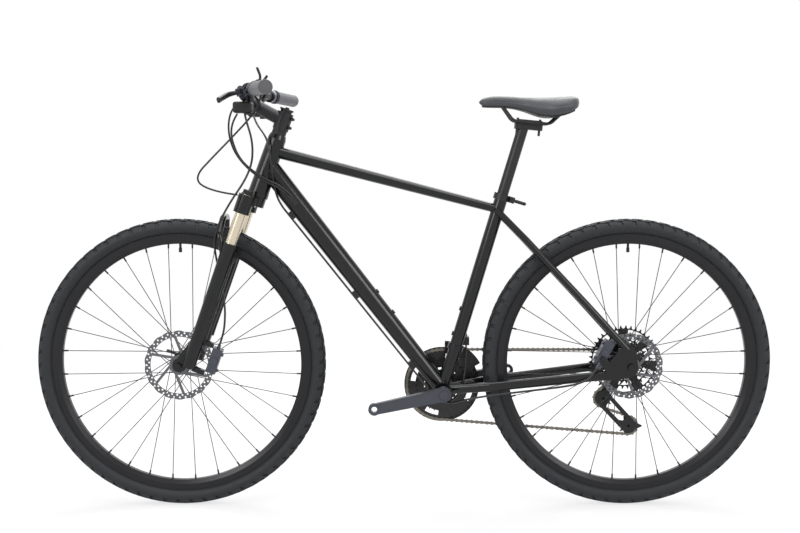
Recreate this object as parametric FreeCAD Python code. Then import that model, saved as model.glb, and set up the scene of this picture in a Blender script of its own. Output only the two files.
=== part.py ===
import FreeCAD, Part
import math
import os

V = FreeCAD.Vector
os.makedirs("parts", exist_ok=True)

# Sizes in millimetres. The bike faces -X, +Y is its right side, the ground is Z = 0.

# clearances and cuts
overrun = 4.0
running_gap = 0.3
slide_gap = 0.3

# wheel and tyre
wheelbase = 1092.0
tyre_radius = 354.0
tyre_width = 44.0
tyre_bulge_radius = 333.0
tyre_shoulder_width = 33.0
tyre_shoulder_radius = 347.0
tyre_wall = 2.8
tyre_crown = 3.8
rim_width = 24.0
rim_inner_width = 19.0
rim_flange_radius = 317.5
rim_bead_radius = 311.0
rim_well_radius = 308.6
rim_well_width = 12.0
rim_waist_radius = 303.0
rim_bed_radius = 293.0
rim_bed_width = 12.0
rim_wall = 1.6
valve_tip_radius = 272.0
valve_r = 3.0
valve_cap_r = 4.0
valve_cap_length = 11.0

# spokes
spoke_count = 32
spoke_cross = 3
spoke_r = 0.95
elbow_r = 1.15
nipple_r = 2.1
nipple_length = 12.0
rim_stagger = 2.2
spoke_clear = 1.4

# hubs
flange_radius = 25.5
flange_hole_radius = 23.0
flange_thickness = 3.0
hub_shell_r = 11.0
hub_end_r = 9.0
hub_end_gap = 0.4
hub_bore_r = 5.35
front_old = 100.0
rear_old = 135.0
front_flange_left = -23.0
front_flange_right = 33.0
rear_flange_left = -33.0
rear_flange_right = 16.5
rear_shell_end = 20.0
axle_r = 5.0
axle_nut_r = 9.0
axle_nut_length = 9.0
axle_lever_r = 4.0
axle_lever_length = 52.0
rear_lever_angle = 40.0

# rotors
front_rotor_radius = 85.0
rear_rotor_radius = 80.0
rotor_thickness = 1.8
front_rotor_y = -40.0
rear_rotor_y = -52.0
rotor_band = 15.0
rotor_wave = 2.6
rotor_waves = 18
rotor_hole_r = 2.3
rotor_hole_count = 36
rotor_row_edge = 5.6
rotor_row_step = 5.8
rotor_arm_width = 6.5
rotor_arm_count = 6
rotor_arm_lean = 38.0
rotor_centre_radius = 24.0
rotor_spigot_radius = 17.0
rotor_carrier_width = 6.0
rotor_bolt_r = 3.6
rotor_bolt_height = 2.2
rotor_bolt_circle = 20.6

# head tube, steering axis and headset
head_top_x = -307.6
head_top_z = 901.7
head_angle = 70.5
head_length = 135.7
head_top_r = 22.0
head_bottom_r = 25.0
head_bore_r = 17.5
cup_top_height = 10.0
cup_top_r = 19.5
cup_bottom_height = 12.0
cup_bottom_r = 25.5
steerer_r = 14.3
steerer_wall = 2.5
steerer_top = 71.0
spacer_r = 17.5
spacer_top = 22.0
cap_r = 17.0
cap_height = 4.5
cap_bolt_r = 5.0
cap_bolt_height = 3.5

# main frame
bb_x = 95.2
bb_z = 287.8
shell_r = 20.5
shell_width = 68.0
shell_bore_r = 17.0
bearing_cup_r = 21.5
bearing_cup_lip = 3.0
bearing_cup_depth = 12.0
seat_angle = 73.3
seat_tube_r = 15.9
seat_tube_length = 501.0
tube_wall = 1.8
down_start = 70.0
down_top_tall = 52.0
down_top_wide = 44.0
down_low_tall = 38.0
down_low_wide = 36.0
top_start = 31.0
top_end = 463.0
top_front_wide = 34.0
top_front_tall = 30.0
top_rear_wide = 29.0
top_rear_tall = 22.0
chainstay_tall = 23.0
chainstay_wide = 15.0
chainstay_points = [(106.0, 18.0, 289.5), (215.0, 45.0, 302.0), (500.0, 66.5, 335.0)]
chainstay_bend = 90.0
seatstay_r = 8.5
seatstay_points = [(222.0, 12.0, 731.0), (294.0, 31.0, 658.0), (441.0, 57.0, 501.0), (537.0, 71.0, 396.0)]
seatstay_bend = 120.0
bridge_r = 6.0
chain_bridge_x = 163.0
chain_bridge_z = 296.0
seat_bridge_x = 300.0
seat_bridge_z = 651.0

# dropouts
dropout_thickness = 7.0
dropout_outline = [
    (484.0, 322.0), (484.0, 346.0), (514.0, 366.0), (524.0, 400.0), (538.0, 411.0),
    (552.0, 402.0), (559.0, 372.0), (563.0, 352.0), (556.0, 336.0), (540.0, 329.0), (515.0, 324.0),
]
brake_lug_outline = [(484.0, 344.0), (470.0, 372.0), (478.0, 382.0), (496.0, 366.0), (516.0, 400.0), (528.0, 402.0),
                     (514.0, 352.0)]
eyelet_x = 567.0
eyelet_z = 383.0
eyelet_outer_r = 7.0
eyelet_r = 2.1
eyelet_neck = 9.0
hanger_x = 556.0
hanger_z = 321.0
hanger_r = 10.0
hanger_bore_r = 4.6

# bosses and guides
boss_r = 5.5
boss_height = 3.0
boss_hole_r = 2.1
boss_depth = 9.0
down_boss_at = [404.0, 468.0]
seat_boss_at = [140.0, 204.0]
guide_at = [130.0, 378.0, 600.0]
guide_length = 20.0
guide_height = 9.0
guide_width = 24.0
port_at = 105.0
port_length = 26.0
port_width = 9.0
port_tall = 12.0

# seat clamp, seatpost and saddle
collar_r = 20.0
collar_height = 15.0
collar_ear = 9.0
collar_ear_width = 14.0
clamp_bolt_r = 3.0
clamp_bolt_reach = 21.0
clamp_nut_r = 6.0
clamp_nut_length = 6.0
clamp_lever_length = 30.0
clamp_lever_r = 4.2
post_r = 13.6
post_wall = 2.0
post_insert = 130.0
post_length = 296.0
cradle_x = 300.0
cradle_z = 930.0
cradle_length = 66.0
cradle_width = 30.0
cradle_height = 14.0
cradle_pitch = 5.2
clamp_plate_length = 60.0
clamp_plate_width = 54.0
clamp_plate_height = 8.0
clamp_plate_lift = 12.0
head_bolt_r = 3.0
head_bolt_span = 54.0
head_bolt_length = 40.0
rail_r = 3.5
rail_points = [(233.0, 12.0, 984.0), (262.0, 22.0, 944.0), (350.0, 22.0, 936.0), (382.0, 25.0, 966.0)]
rail_bend = 22.0
saddle_stations = [180.5, 188.0, 205.0, 245.0, 285.0, 320.0, 348.0, 380.0, 405.0, 420.5]
saddle_half_widths = [8.0, 15.0, 19.0, 22.5, 32.0, 53.0, 70.0, 76.0, 66.0, 44.0]
saddle_tops = [991.0, 997.5, 1002.0, 1003.0, 1001.0, 1000.0, 1000.5, 1002.0, 1002.5, 998.0]
saddle_lows = [983.0, 981.0, 980.0, 979.0, 972.0, 961.0, 956.0, 960.0, 970.0, 982.0]
saddle_side_shares = [(0.93, 0.0), (1.0, 0.34), (0.86, 0.76), (0.48, 0.955)]
base_thickness = 4.0
base_share = 0.9

# crank set
crank_length = 170.0
crank_angle = 191.0
spindle_r = 12.0
spindle_left = -78.0
spindle_right = 80.0
crank_boss_r = 17.5
crank_end_r = 14.5
left_boss_inner = -58.0
left_boss_outer = -80.0
right_boss_inner = 62.0
right_boss_outer = 84.0
crank_end_inner = 80.0
crank_end_outer = 94.0
pedal_hole_r = 7.14
crank_bolt_r = 11.0
crank_bolt_height = 3.0
spider_arm_width = 17.0
spider_reach = 60.0
spider_turn = 25.0
spider_arms = 4
crank_arm_share = 0.9
spider_hub_share = 1.3
ring_bolt_head_share = 1.5
ring_spacing = 7.5
ring_bolt_circle = 52.0
ring_bolt_r = 4.5
ring_bolt_head = 1.6
inner_post_circle = 32.0
inner_post_r = 5.0
outer_ring_bore_r = 45.0
inner_ring_bore_r = 26.0
window_inner_r = 67.0
window_outer_r = 79.0
window_half_angle = 13.0
guard_outer_r = 94.5
guard_inner_r = 82.0
guard_thickness = 2.0
guard_gap = 0.9

# chain, sprockets and pulleys
chain_y = 58.0
chain_pitch = 12.7
roller_r = 3.85
chain_pin_r = 1.7
chain_bore_r = 2.05
link_waist_share = 0.66
link_half_height = 4.1
inner_plate_in = 1.15
inner_plate_out = 2.0
outer_plate_in = 2.3
outer_plate_out = 3.1
tooth_thickness = 1.6
tooth_tip = 3.3
tooth_tip_width = 1.9
valley_gap = 0.3
valley_half_angle = 68.0
big_ring_teeth = 44
mid_ring_teeth = 32
low_ring_teeth = 22
cassette_teeth = [11, 13, 15, 18, 21, 24, 28, 34, 42]
cog_spacing = 4.34
cog_window_gap = 7.0
cog_window_teeth = 21
cog_window_count = 7
freehub_r = 15.5
cog_spacer_wall = 1.2
cog_window_share = 0.62
freehub_start = 20.5
freehub_end = 61.5
lockring_r = 15.0
pulley_teeth = 11
pulley_hub_r = 9.0
pulley_hub_width = 5.6
pulley_bore_r = 3.1
upper_pulley_x = 501.0
upper_pulley_z = 252.8
lower_pulley_x = 567.8
lower_pulley_z = 183.7
pulley_span = 95.0

# rear derailleur
cage_plate_thickness = 1.8
cage_gap = 5.2
cage_top_r = 20.0
cage_low_r = 19.0
cage_tail_angle = 2.0
cage_bolt_r = 2.8
cage_tail_share = 1.6
knuckle_r = 11.0
knuckle_width = 17.0
knuckle_gap = 0.4
mount_knuckle_r = 10.5
mount_knuckle_width = 13.0
link_width = 20.0
link_thickness = 9.0
barrel_r = 4.0
barrel_length = 12.0
barrel_angle = 47.0

# front derailleur
band_at = 109.0
band_height = 14.0
band_wall = 3.6
changer_pivot = (140.0, 56.0, 413.0)
changer_pin_r = 3.0
changer_pin_length = 34.0
changer_eye_r = 6.5
changer_eye_length = 16.0
changer_cage_inner_r = 97.0
changer_cage_outer_r = 110.0
changer_cage_deep_r = 84.0
changer_start = 30.0
changer_end = 86.0
changer_plate = 1.6
changer_inner_y = 51.0
changer_outer_y = 64.9
changer_rung_r = 2.4
changer_rung_radius = 107.0
changer_body_height = 20.0
changer_body_length = 30.0
changer_body_inner = 15.0
changer_body_outer = 44.0
changer_body_x = 146.0
changer_body_z = 404.0

# fork
axle_drop = 595.9
axle_lead = 41.9
leg_lead = 17.0
leg_y = 65.0
crown_top = 148.0
crown_bottom = 171.0
crown_depth = 34.0
crown_boss_r = 23.0
socket_r = 20.0
socket_bottom = 194.0
stanchion_r = 14.0
stanchion_wall = 2.2
stanchion_top = 146.0
stanchion_bottom = 398.0
dial_r = 12.0
dial_height = 9.0
seal_top = 271.0
seal_r = 18.0
lower_top = 279.0
lower_top_r = 17.5
lower_bottom = 588.0
lower_bottom_r = 16.0
lower_bore_bottom = 472.0
arch_points = [(-304.0, 24.0, 64.0), (-262.0, 50.0, 58.0), (-222.0, 58.0, 30.0)]
arch_r = 8.0
arch_bend = 18.0
rib_top = 300.0
rib_bottom = 520.0
rib_r = 4.0
lug_inner_y = 50.0
lug_outer_y = 61.0
lug_r = 13.0
boot_points = [(80.0, 20.0), (80.0, 30.0), (5.0, 53.8), (-11.0, 46.0), (-9.0, 30.0), (20.0, 12.0)]
mount_tops = [520.0, 590.0]
mount_reach = 24.0
mount_thickness = 12.0
mount_inner_y = 44.0
mount_outer_y = 58.0

# calipers
caliper_length = 62.0
caliper_depth = 24.0
caliper_slot = 4.4
caliper_half = 14.0
front_caliper_drop = 556.0
front_caliper_lead = -35.0
rear_caliper_x = 482.4
rear_caliper_z = 387.8
caliper_bolt_r = 4.0
caliper_bolt_height = 5.0
caliper_bolt_span = 40.0
caliper_cap_r = 9.0
caliper_cap_height = 3.0
fitting_r = 4.2
fitting_length = 10.0
fitting_bury = 6.0
rear_fitting_out = 3.5

# stem and handlebar
stem_clamp_low = 22.3
stem_clamp_high = 66.0
stem_clamp_r = 19.5
stem_wide = 34.0
stem_tall = 32.0
stem_start = 46.0
bar_rise = 58.6
bar_lead = 82.6
bar_clamp_r = 21.0
bar_clamp_width = 46.0
faceplate_gap = 2.0
faceplate_bolt_r = 3.2
faceplate_bolt_length = 9.0
faceplate_bolt_span_y = 30.0
faceplate_bolt_span_z = 33.0
pinch_r = 4.0
pinch_width = 27.0
pinch_back = 21.0
pinch_at = [34.0, 56.0]
bar_centre_r = 15.9
bar_r = 11.1
bar_wall = 2.3
bar_centre_half = 26.0
bar_taper_half = 36.0
bar_taper_step = 0.5
bar_bend_y = 40.0
bar_lift_y = 84.0
bar_lift = 30.0
bar_bend = 130.0
bar_end_back = 67.9
bar_end_rise = 22.5
bar_end_y = 328.0
grip_r = 16.0
grip_length = 130.0
grip_cap = 3.5
grip_collar_r = 17.4
grip_collar_width = 8.0

# bar controls
lever_clamp_y = 170.0
lever_clamp_r = 16.0
lever_clamp_width = 13.0
cylinder_start = (-371.0, -122.0, 995.0)
cylinder_end = (-369.0, -176.0, 1001.0)
cylinder_r = 9.5
reservoir_r = 7.0
reservoir_lift = 11.0
lever_pivot = (-373.0, -190.0, 1003.0)
lever_pivot_r = 7.0
lever_pivot_height = 10.0
lever_pin_r = 2.4
lever_ear = 3.2
lever_ear_share = 1.8
lever_neck_share = 0.8
lever_points = [(-373.0, -190.0, 1003.0), (-397.0, -206.0, 996.0), (-408.0, -272.0, 981.0)]
lever_bend = 20.0
lever_r = 4.6
lever_tip_r = 6.0
lever_tilt = 16.0
pod_y = 112.0
pod_length = 46.0
pod_depth = 44.0
pod_height = 26.0
pod_round = 6.0
pod_centre = (-371.0, -134.0, 971.0)
pod_clamp_r = 15.0
pod_clamp_width = 10.0
pod_neck_share = 0.8
trigger_pivot = (-358.0, -147.0, 955.6)
trigger_tip = (-331.0, -166.0, 954.6)
trigger_eye_r = 8.0
trigger_thickness = 4.0
trigger_pin_r = 2.2
trigger_r = 1.8
trigger_pad_r = 5.0
remote_y = 88.0
remote_clamp_r = 16.0
remote_clamp_width = 11.0
remote_post = (-340.0, -88.0, 1026.0)
remote_stalk_r = 4.8
remote_r = 12.0
remote_width = 12.0
remote_pin_r = 2.6
lockout_points = [(-340.0, -97.5, 1026.0), (-334.0, -97.5, 1043.0), (-342.0, -97.5, 1063.0)]
lockout_bend = 30.0
lockout_r = 3.0
lockout_eye_r = 9.0
lockout_eye_width = 6.0
release_points = [(-336.0, -88.0, 1030.0), (-326.0, -88.0, 1038.0), (-320.0, -88.0, 1047.0)]
release_r = 3.0

# cables and hoses
cable_r = 2.3
hose_r = 2.5
cable_bend = 90.0
cable_share = 0.48
loop_a = [(-395.2, -122.0, 970.0), (-406.0, -121.0, 955.0), (-410.0, -108.0, 905.0), (-391.0, -88.0, 852.0),
          (-340.0, -53.0, 802.0), (-293.8, -28.0, 783.5), (-268.6, -24.5, 751.1)]
loop_b = [(-385.0, -133.0, 956.2), (-398.0, -130.0, 938.0), (-403.0, -116.0, 900.0), (-383.0, -95.0, 846.0),
          (-335.0, -60.0, 807.0), (-289.6, -33.0, 786.9), (-264.4, -24.5, 754.5)]
loop_c = [(-371.1, 120.0, 994.9), (-382.0, 95.0, 985.0), (-364.0, 40.0, 940.0), (-330.0, -26.0, 905.0),
          (-322.0, -36.0, 868.0), (-318.0, -32.0, 830.0), (-314.0, -25.0, 790.0), (-304.5, -9.0, 749.2)]
lockout_run = [(-334.0, -88.0, 1013.6), (-336.0, -88.0, 990.0), (-352.0, -90.5, 958.0), (-408.0, -96.0, 898.0),
               (-440.0, -97.0, 866.0), (-499.0, -88.0, 806.0), (-455.0, -74.0, 776.0), (-396.0, -65.0, 768.0)]
front_hose_run = [(-371.1, -120.8, 994.9), (-376.0, -100.5, 990.0), (-372.0, -101.0, 952.0), (-353.0, -95.0, 888.0),
                  (-361.0, -90.0, 822.0), (-420.0, -90.0, 738.0), (-456.0, -62.0, 668.0), (-452.0, -42.5, 610.0),
                  (-441.0, -42.5, 556.0), (-430.0, -58.0, 500.0), (-432.0, -58.0, 452.0), (-439.8, -47.0, 423.4),
                  (-447.5, -47.0, 401.7)]
rear_hose_tail = [(93.0, -9.0, 247.0), (160.0, -40.0, 272.0), (250.0, -57.0, 288.0), (400.0, -70.0, 308.0),
                  (436.0, -79.0, 322.0), (456.5, -74.0, 339.0), (465.1, -69.5, 355.1)]
shift_tail = [(8.9, 9.0, 390.6), (56.0, 9.0, 298.0), (90.0, 9.0, 246.0), (133.0, 9.0, 262.0), (153.0, 12.0, 318.0),
              (154.0, 28.0, 393.0)]
gear_tail = [(425.0, 61.0, 326.5), (455.0, 69.0, 322.0), (500.0, 94.0, 311.0), (560.0, 102.0, 303.0),
             (606.0, 97.0, 320.0), (592.0, 81.0, 359.0), (569.0, 81.0, 334.7)]
under_gap = 7.5
under_side = 9.0

# derived places
front_axle_x = -wheelbase / 2
rear_axle_x = wheelbase / 2
across = V(0, 1, 0)
upright = V(0, 0, 1)
front_centre = V(front_axle_x, 0, tyre_radius)
rear_centre = V(rear_axle_x, 0, tyre_radius)
bb = V(bb_x, 0, bb_z)


def slope(degrees):
    """Unit vector in the plane of the bike, turned from +X towards +Z."""
    a = math.radians(degrees)
    return V(math.cos(a), 0, math.sin(a))


steer_up = slope(head_angle)
steer_fwd = slope(head_angle + 90)
head_top = V(head_top_x, 0, head_top_z)
seat_dir = slope(seat_angle)
seat_fwd = slope(seat_angle + 90)


def steer_at(s, n, y=0):
    """Point s up the steering axis from the head tube top, n ahead of it."""
    return head_top + steer_up * s + steer_fwd * n + across * y


def rod(a, b, r):
    d = b - a
    return Part.makeCylinder(r, d.Length, a, d)


def cone(a, b, r0, r1):
    d = b - a
    return Part.makeCone(r0, r1, d.Length, a, d)


def cross_rod(x, z, y0, y1, r):
    return rod(V(x, min(y0, y1), z), V(x, max(y0, y1), z), r)


def block(centre, ex, ey, lx, ly, lz):
    """Box with its edges along ex, ey and their cross product."""
    ez = ex.cross(ey)
    a = centre - ex * (lx / 2) - ey * (ly / 2) - ez * (lz / 2)
    corners = [a, a + ex * lx, a + ex * lx + ey * ly, a + ey * ly, a]
    return Part.Face(Part.makePolygon(corners)).extrude(ez * lz)


def fuse(shapes):
    whole = shapes[0]
    if len(shapes) > 1:
        whole = whole.multiFuse(shapes[1:]).removeSplitter()
    return whole


def cut(shape, tools):
    for tool in tools:
        shape = shape.cut(tool)
    return shape


def largest(shape):
    """The biggest solid left by a cut."""
    return max(shape.Solids, key=lambda s: s.Volume)


def middle(a, b):
    return a + (b - a) * (1 / 2)


def group(shapes):
    return Part.makeCompound(shapes)


def mirrored(shape):
    return shape.mirror(V(0, 0, 0), across)


def spun(outline, centre):
    """Solid of revolution about the wheel axis from (y, radius) points."""
    pts = [centre + across * y + upright * r for y, r in outline]
    return Part.Face(Part.makePolygon(pts + pts[:1])).revolve(centre, across, 360)


def plate(outline, y0, y1):
    """Flat plate from (x, z) points between two depths."""
    pts = [V(x, y0, z) for x, z in outline]
    return Part.Face(Part.makePolygon(pts + pts[:1])).extrude(across * (y1 - y0))


def route(points, bend):
    """Wire of straight runs joined by tangent arcs."""
    pts = [p if isinstance(p, V) else V(*p) for p in points]
    edges = []
    at = pts[0]
    for i in range(1, len(pts) - 1):
        back = (pts[i - 1] - pts[i]).normalize()
        ahead = (pts[i + 1] - pts[i]).normalize()
        half = back.getAngle(ahead) / 2
        room = min((pts[i - 1] - pts[i]).Length, (pts[i + 1] - pts[i]).Length) * cable_share
        reach = min(bend / math.tan(half), room)
        radius = reach * math.tan(half)
        start = pts[i] + back * reach
        end = pts[i] + ahead * reach
        inward = (back + ahead).normalize()
        middle = pts[i] + inward * (radius / math.sin(half) - radius)
        edges.append(Part.LineSegment(at, start).toShape())
        edges.append(Part.Arc(start, middle, end).toShape())
        at = end
    edges.append(Part.LineSegment(at, pts[-1]).toShape())
    return Part.Wire(edges)


def cord(points, bend, r):
    """Round cord along a route."""
    path = route(points, bend)
    start = path.Edges[0]
    circle = Part.Circle(start.valueAt(start.FirstParameter), start.tangentAt(start.FirstParameter), r)
    return path.makePipeShell([Part.Wire(circle.toShape())], True, False)


def oval(centre, major, minor, a, b):
    return Part.Wire(Part.Ellipse(centre + major * a, centre + minor * b, centre).toShape())


def oval_loft(p0, p1, major, minor, size0, size1):
    w0 = oval(p0, major, minor, size0[0] / 2, size0[1] / 2)
    w1 = oval(p1, major, minor, size1[0] / 2, size1[1] / 2)
    return Part.makeLoft([w0, w1], True, True)


def thinner(size):
    return (size[0] - tube_wall * 2, size[1] - tube_wall * 2)


def side_points(points, side):
    return [(x, y * side, z) for x, y, z in points]


def pitch_radius(teeth):
    return chain_pitch / 2 / math.sin(math.pi / teeth)


def sprocket(centre, teeth, phase, thickness, bore_r):
    """Toothed plate whose valley stands at the phase angle."""
    radius = pitch_radius(teeth)
    seat = roller_r + valley_gap
    beta = math.radians(valley_half_angle)
    tip_r = radius + tooth_tip
    tip_half = tooth_tip_width / 2 / tip_r
    step = 2 * math.pi / teeth
    low = centre - across * (thickness / 2)

    def polar(r, a):
        return low + V(r * math.cos(a), 0, r * math.sin(a))

    edges = []
    last = None
    for k in range(teeth):
        a = phase + k * step
        out = V(math.cos(a), 0, math.sin(a))
        side = V(-math.sin(a), 0, math.cos(a))
        pin = polar(radius, a)
        p0 = pin - out * (seat * math.cos(beta)) - side * (seat * math.sin(beta))
        pm = pin - out * seat
        p1 = pin - out * (seat * math.cos(beta)) + side * (seat * math.sin(beta))
        if k == 0:
            first = p0
        else:
            edges.append(Part.makeLine(last, p0))
        t0 = polar(tip_r, a + step / 2 - tip_half)
        t1 = polar(tip_r, a + step / 2 + tip_half)
        edges.append(Part.Arc(p0, pm, p1).toShape())
        edges.append(Part.makeLine(p1, t0))
        edges.append(Part.makeLine(t0, t1))
        last = t1
    edges.append(Part.makeLine(last, first))
    body = Part.Face(Part.Wire(edges)).extrude(across * thickness)
    hole = rod(low - across * overrun, low + across * (thickness + overrun), bore_r)
    return body.cut(hole)


def sector(centre, r0, r1, a0, a1, y0, y1):
    """Part of a ring plate between two angles."""
    base = V(centre.x, y0, centre.z)

    def polar(r, a):
        return base + slope(a) * r

    mid = (a0 + a1) / 2
    edges = [
        Part.Arc(polar(r1, a0), polar(r1, mid), polar(r1, a1)).toShape(),
        Part.makeLine(polar(r1, a1), polar(r0, a1)),
        Part.Arc(polar(r0, a1), polar(r0, mid), polar(r0, a0)).toShape(),
        Part.makeLine(polar(r0, a0), polar(r1, a0)),
    ]
    return Part.Face(Part.Wire(edges)).extrude(across * (y1 - y0))


def hull_plate(c0, r0, c1, r1, y0, y1):
    """Plate wrapped round two discs."""
    d = c1 - c0
    span = d.Length
    along = math.atan2(d.z, d.x)
    lean = math.acos((r0 - r1) / span)
    p = []
    for c, r in ((c0, r0), (c1, r1)):
        for s in (1, -1):
            a = along + s * lean
            p.append((c.x + r * math.cos(a), c.z + r * math.sin(a)))
    body = plate([p[0], p[2], p[3], p[1]], y0, y1)
    return fuse([body, cross_rod(c0.x, c0.z, y0, y1, r0), cross_rod(c1.x, c1.z, y0, y1, r1)])


# chain line

def tangent_run(a, b):
    """Straight run between two wrapped circles (x, z, radius, sense)."""
    dx = b[0] - a[0]
    dz = b[1] - a[1]
    span = math.hypot(dx, dz)
    heading = math.atan2(dz, dx) - math.asin((b[3] * b[2] - a[3] * a[2]) / span)
    left = (-math.sin(heading), math.cos(heading))
    start = (a[0] - a[3] * a[2] * left[0], a[1] - a[3] * a[2] * left[1])
    end = (b[0] - b[3] * b[2] * left[0], b[1] - b[3] * b[2] * left[1])
    return start, end


def chain_runs(lower):
    """Arcs and straight runs of the closed chain line, in the order the chain moves."""
    circles = [
        (bb_x, bb_z, pitch_radius(big_ring_teeth), 1),
        (lower[0], lower[1], pitch_radius(pulley_teeth), 1),
        (upper_pulley_x, upper_pulley_z, pitch_radius(pulley_teeth), -1),
        (rear_axle_x, tyre_radius, pitch_radius(cassette_teeth[0]), 1),
    ]
    count = len(circles)
    lines = [tangent_run(circles[i], circles[(i + 1) % count]) for i in range(count)]
    runs = []
    for i in range(count):
        cx, cz, r, sense = circles[i]
        entry = lines[i - 1][1]
        leave = lines[i][0]
        a0 = math.atan2(entry[1] - cz, entry[0] - cx)
        a1 = math.atan2(leave[1] - cz, leave[0] - cx)
        sweep = (sense * (a1 - a0)) % (2 * math.pi)
        runs.append(("arc", cx, cz, r, a0, sense, sweep * r))
        p, q = lines[i]
        runs.append(("line", p, q, math.hypot(q[0] - p[0], q[1] - p[1])))
    return runs


def on_chain(runs, t):
    """Point at length t along the chain line, and the run it lies on."""
    total = sum(run[-1] for run in runs)
    t = t % total
    for i, run in enumerate(runs):
        if t <= run[-1]:
            if run[0] == "arc":
                a = run[4] + run[5] * t / run[3]
                return (run[1] + run[3] * math.cos(a), run[2] + run[3] * math.sin(a)), i
            f = t / run[-1]
            p, q = run[1], run[2]
            return (p[0] + (q[0] - p[0]) * f, p[1] + (q[1] - p[1]) * f), i
        t -= run[-1]
    return on_chain(runs, 0)


def walk(runs, links):
    """Lengths of successive pins one pitch apart in a straight line."""
    at = [0.0]
    for _ in range(links):
        here = on_chain(runs, at[-1])[0]
        step = chain_pitch
        for _ in range(6):
            there = on_chain(runs, at[-1] + step)[0]
            step *= chain_pitch / math.hypot(there[0] - here[0], there[1] - here[1])
        at.append(at[-1] + step)
    return at


def lower_pulley_at(angle):
    return (upper_pulley_x + pulley_span * math.cos(angle), upper_pulley_z + pulley_span * math.sin(angle))


def closing_error(angle, links):
    runs = chain_runs(lower_pulley_at(angle))
    return walk(runs, links)[-1] - sum(run[-1] for run in runs)


def solve_chain():
    """Cage angle that lets an even number of whole links close."""
    nominal = math.atan2(lower_pulley_z - upper_pulley_z, lower_pulley_x - upper_pulley_x)
    runs = chain_runs(lower_pulley_at(nominal))
    links = 2 * round(sum(run[-1] for run in runs) / chain_pitch / 2)
    low, high = nominal - math.radians(30), nominal + math.radians(30)
    e_low = closing_error(low, links)
    for _ in range(40):
        mid = (low + high) / 2
        e_mid = closing_error(mid, links)
        if (e_mid > 0) == (e_low > 0):
            low, e_low = mid, e_mid
        else:
            high = mid
    return (low + high) / 2, links


cage_angle, link_count = solve_chain()
runs = chain_runs(lower_pulley_at(cage_angle))
pins = [on_chain(runs, t) for t in walk(runs, link_count)[:-1]]
print("chain links", link_count, "cage angle", math.degrees(cage_angle))


def phase_on(run_index):
    """Angle of a pin that lies in the middle of an arc."""
    run = runs[run_index]
    seated = [p for p, i in pins if i == run_index]
    x, z = seated[len(seated) // 2]
    return math.atan2(z - run[2], x - run[1])


upper_pulley_centre = V(upper_pulley_x, chain_y, upper_pulley_z)
lower_xz = lower_pulley_at(cage_angle)
lower_pulley_centre = V(lower_xz[0], chain_y, lower_xz[1])


def stadium(y0, y1):
    """Link plate round two pins at the origin and one pitch along X."""
    waist = link_half_height * link_waist_share
    body = plate([(0, -waist), (chain_pitch, -waist), (chain_pitch, waist), (0, waist)], y0, y1)
    ends = [cross_rod(0, 0, y0, y1, link_half_height), cross_rod(chain_pitch, 0, y0, y1, link_half_height)]
    return fuse([body] + ends)


def make_chain():
    plates = []
    for s in (1, -1):
        plates.append(stadium(min(s * inner_plate_in, s * inner_plate_out), max(s * inner_plate_in, s * inner_plate_out)))
    rollers = [cross_rod(x, 0, -inner_plate_in, inner_plate_in, roller_r) for x in (0, chain_pitch)]
    inner = fuse(plates + rollers)
    inner = cut(inner, [cross_rod(x, 0, -overrun, overrun, chain_bore_r) for x in (0, chain_pitch)])
    plates = []
    for s in (1, -1):
        plates.append(stadium(min(s * outer_plate_in, s * outer_plate_out), max(s * outer_plate_in, s * outer_plate_out)))
    outer = fuse(plates + [cross_rod(x, 0, -outer_plate_out, outer_plate_out, chain_pin_r) for x in (0, chain_pitch)])
    links = []
    for k in range(link_count):
        (x0, z0), _ = pins[k]
        (x1, z1), _ = pins[(k + 1) % link_count]
        turn = math.degrees(math.atan2(z1 - z0, x1 - x0))
        link = (outer if k % 2 else inner).copy()
        link.Placement = FreeCAD.Placement(V(x0, chain_y, z0), FreeCAD.Rotation(across, -turn))
        links.append(link)
    return group(links)


# wheels

def make_tyre(centre):
    half_bead = rim_inner_width / 2
    half = tyre_width / 2
    shoulder = tyre_shoulder_width / 2
    top = rim_flange_radius

    def p(y, r):
        return centre + across * y + upright * r

    def skin(thick, crown):
        edges = []
        b = half_bead - thick
        w = half - thick
        s = shoulder - thick
        sr = tyre_shoulder_radius - thick
        edges.append(Part.makeLine(p(-b, rim_bead_radius), p(-b, top)))
        edges.append(Part.Arc(p(-b, top), p(-w, tyre_bulge_radius), p(-s, sr)).toShape())
        edges.append(Part.Arc(p(-s, sr), p(0, tyre_radius - crown), p(s, sr)).toShape())
        edges.append(Part.Arc(p(s, sr), p(w, tyre_bulge_radius), p(b, top)).toShape())
        edges.append(Part.makeLine(p(b, top), p(b, rim_bead_radius)))
        return edges, p(-b, rim_bead_radius), p(b, rim_bead_radius)

    outer, o0, o1 = skin(0, 0)
    inner, i0, i1 = skin(tyre_wall, tyre_crown)
    outline = outer + [Part.makeLine(o1, i1)] + inner + [Part.makeLine(i0, o0)]
    wire = Part.Wire(Part.__sortEdges__(outline))
    return Part.Face(wire).revolve(centre, across, 360)


def rim_section(inset):
    w = rim_width / 2 - inset
    i = rim_inner_width / 2
    b = rim_bed_width / 2 - inset / 2
    well = rim_well_width / 2
    if inset:
        return [(-w, rim_bead_radius - inset * 2), (-well, rim_well_radius - inset), (well, rim_well_radius - inset),
                (w, rim_bead_radius - inset * 2), (w, rim_waist_radius), (b, rim_bed_radius + inset),
                (-b, rim_bed_radius + inset), (-w, rim_waist_radius)]
    return [(-w, rim_flange_radius), (-i, rim_flange_radius), (-i, rim_bead_radius), (-well, rim_well_radius),
            (well, rim_well_radius), (i, rim_bead_radius), (i, rim_flange_radius), (w, rim_flange_radius),
            (w, rim_waist_radius), (b, rim_bed_radius), (-b, rim_bed_radius), (-w, rim_waist_radius)]


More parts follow.
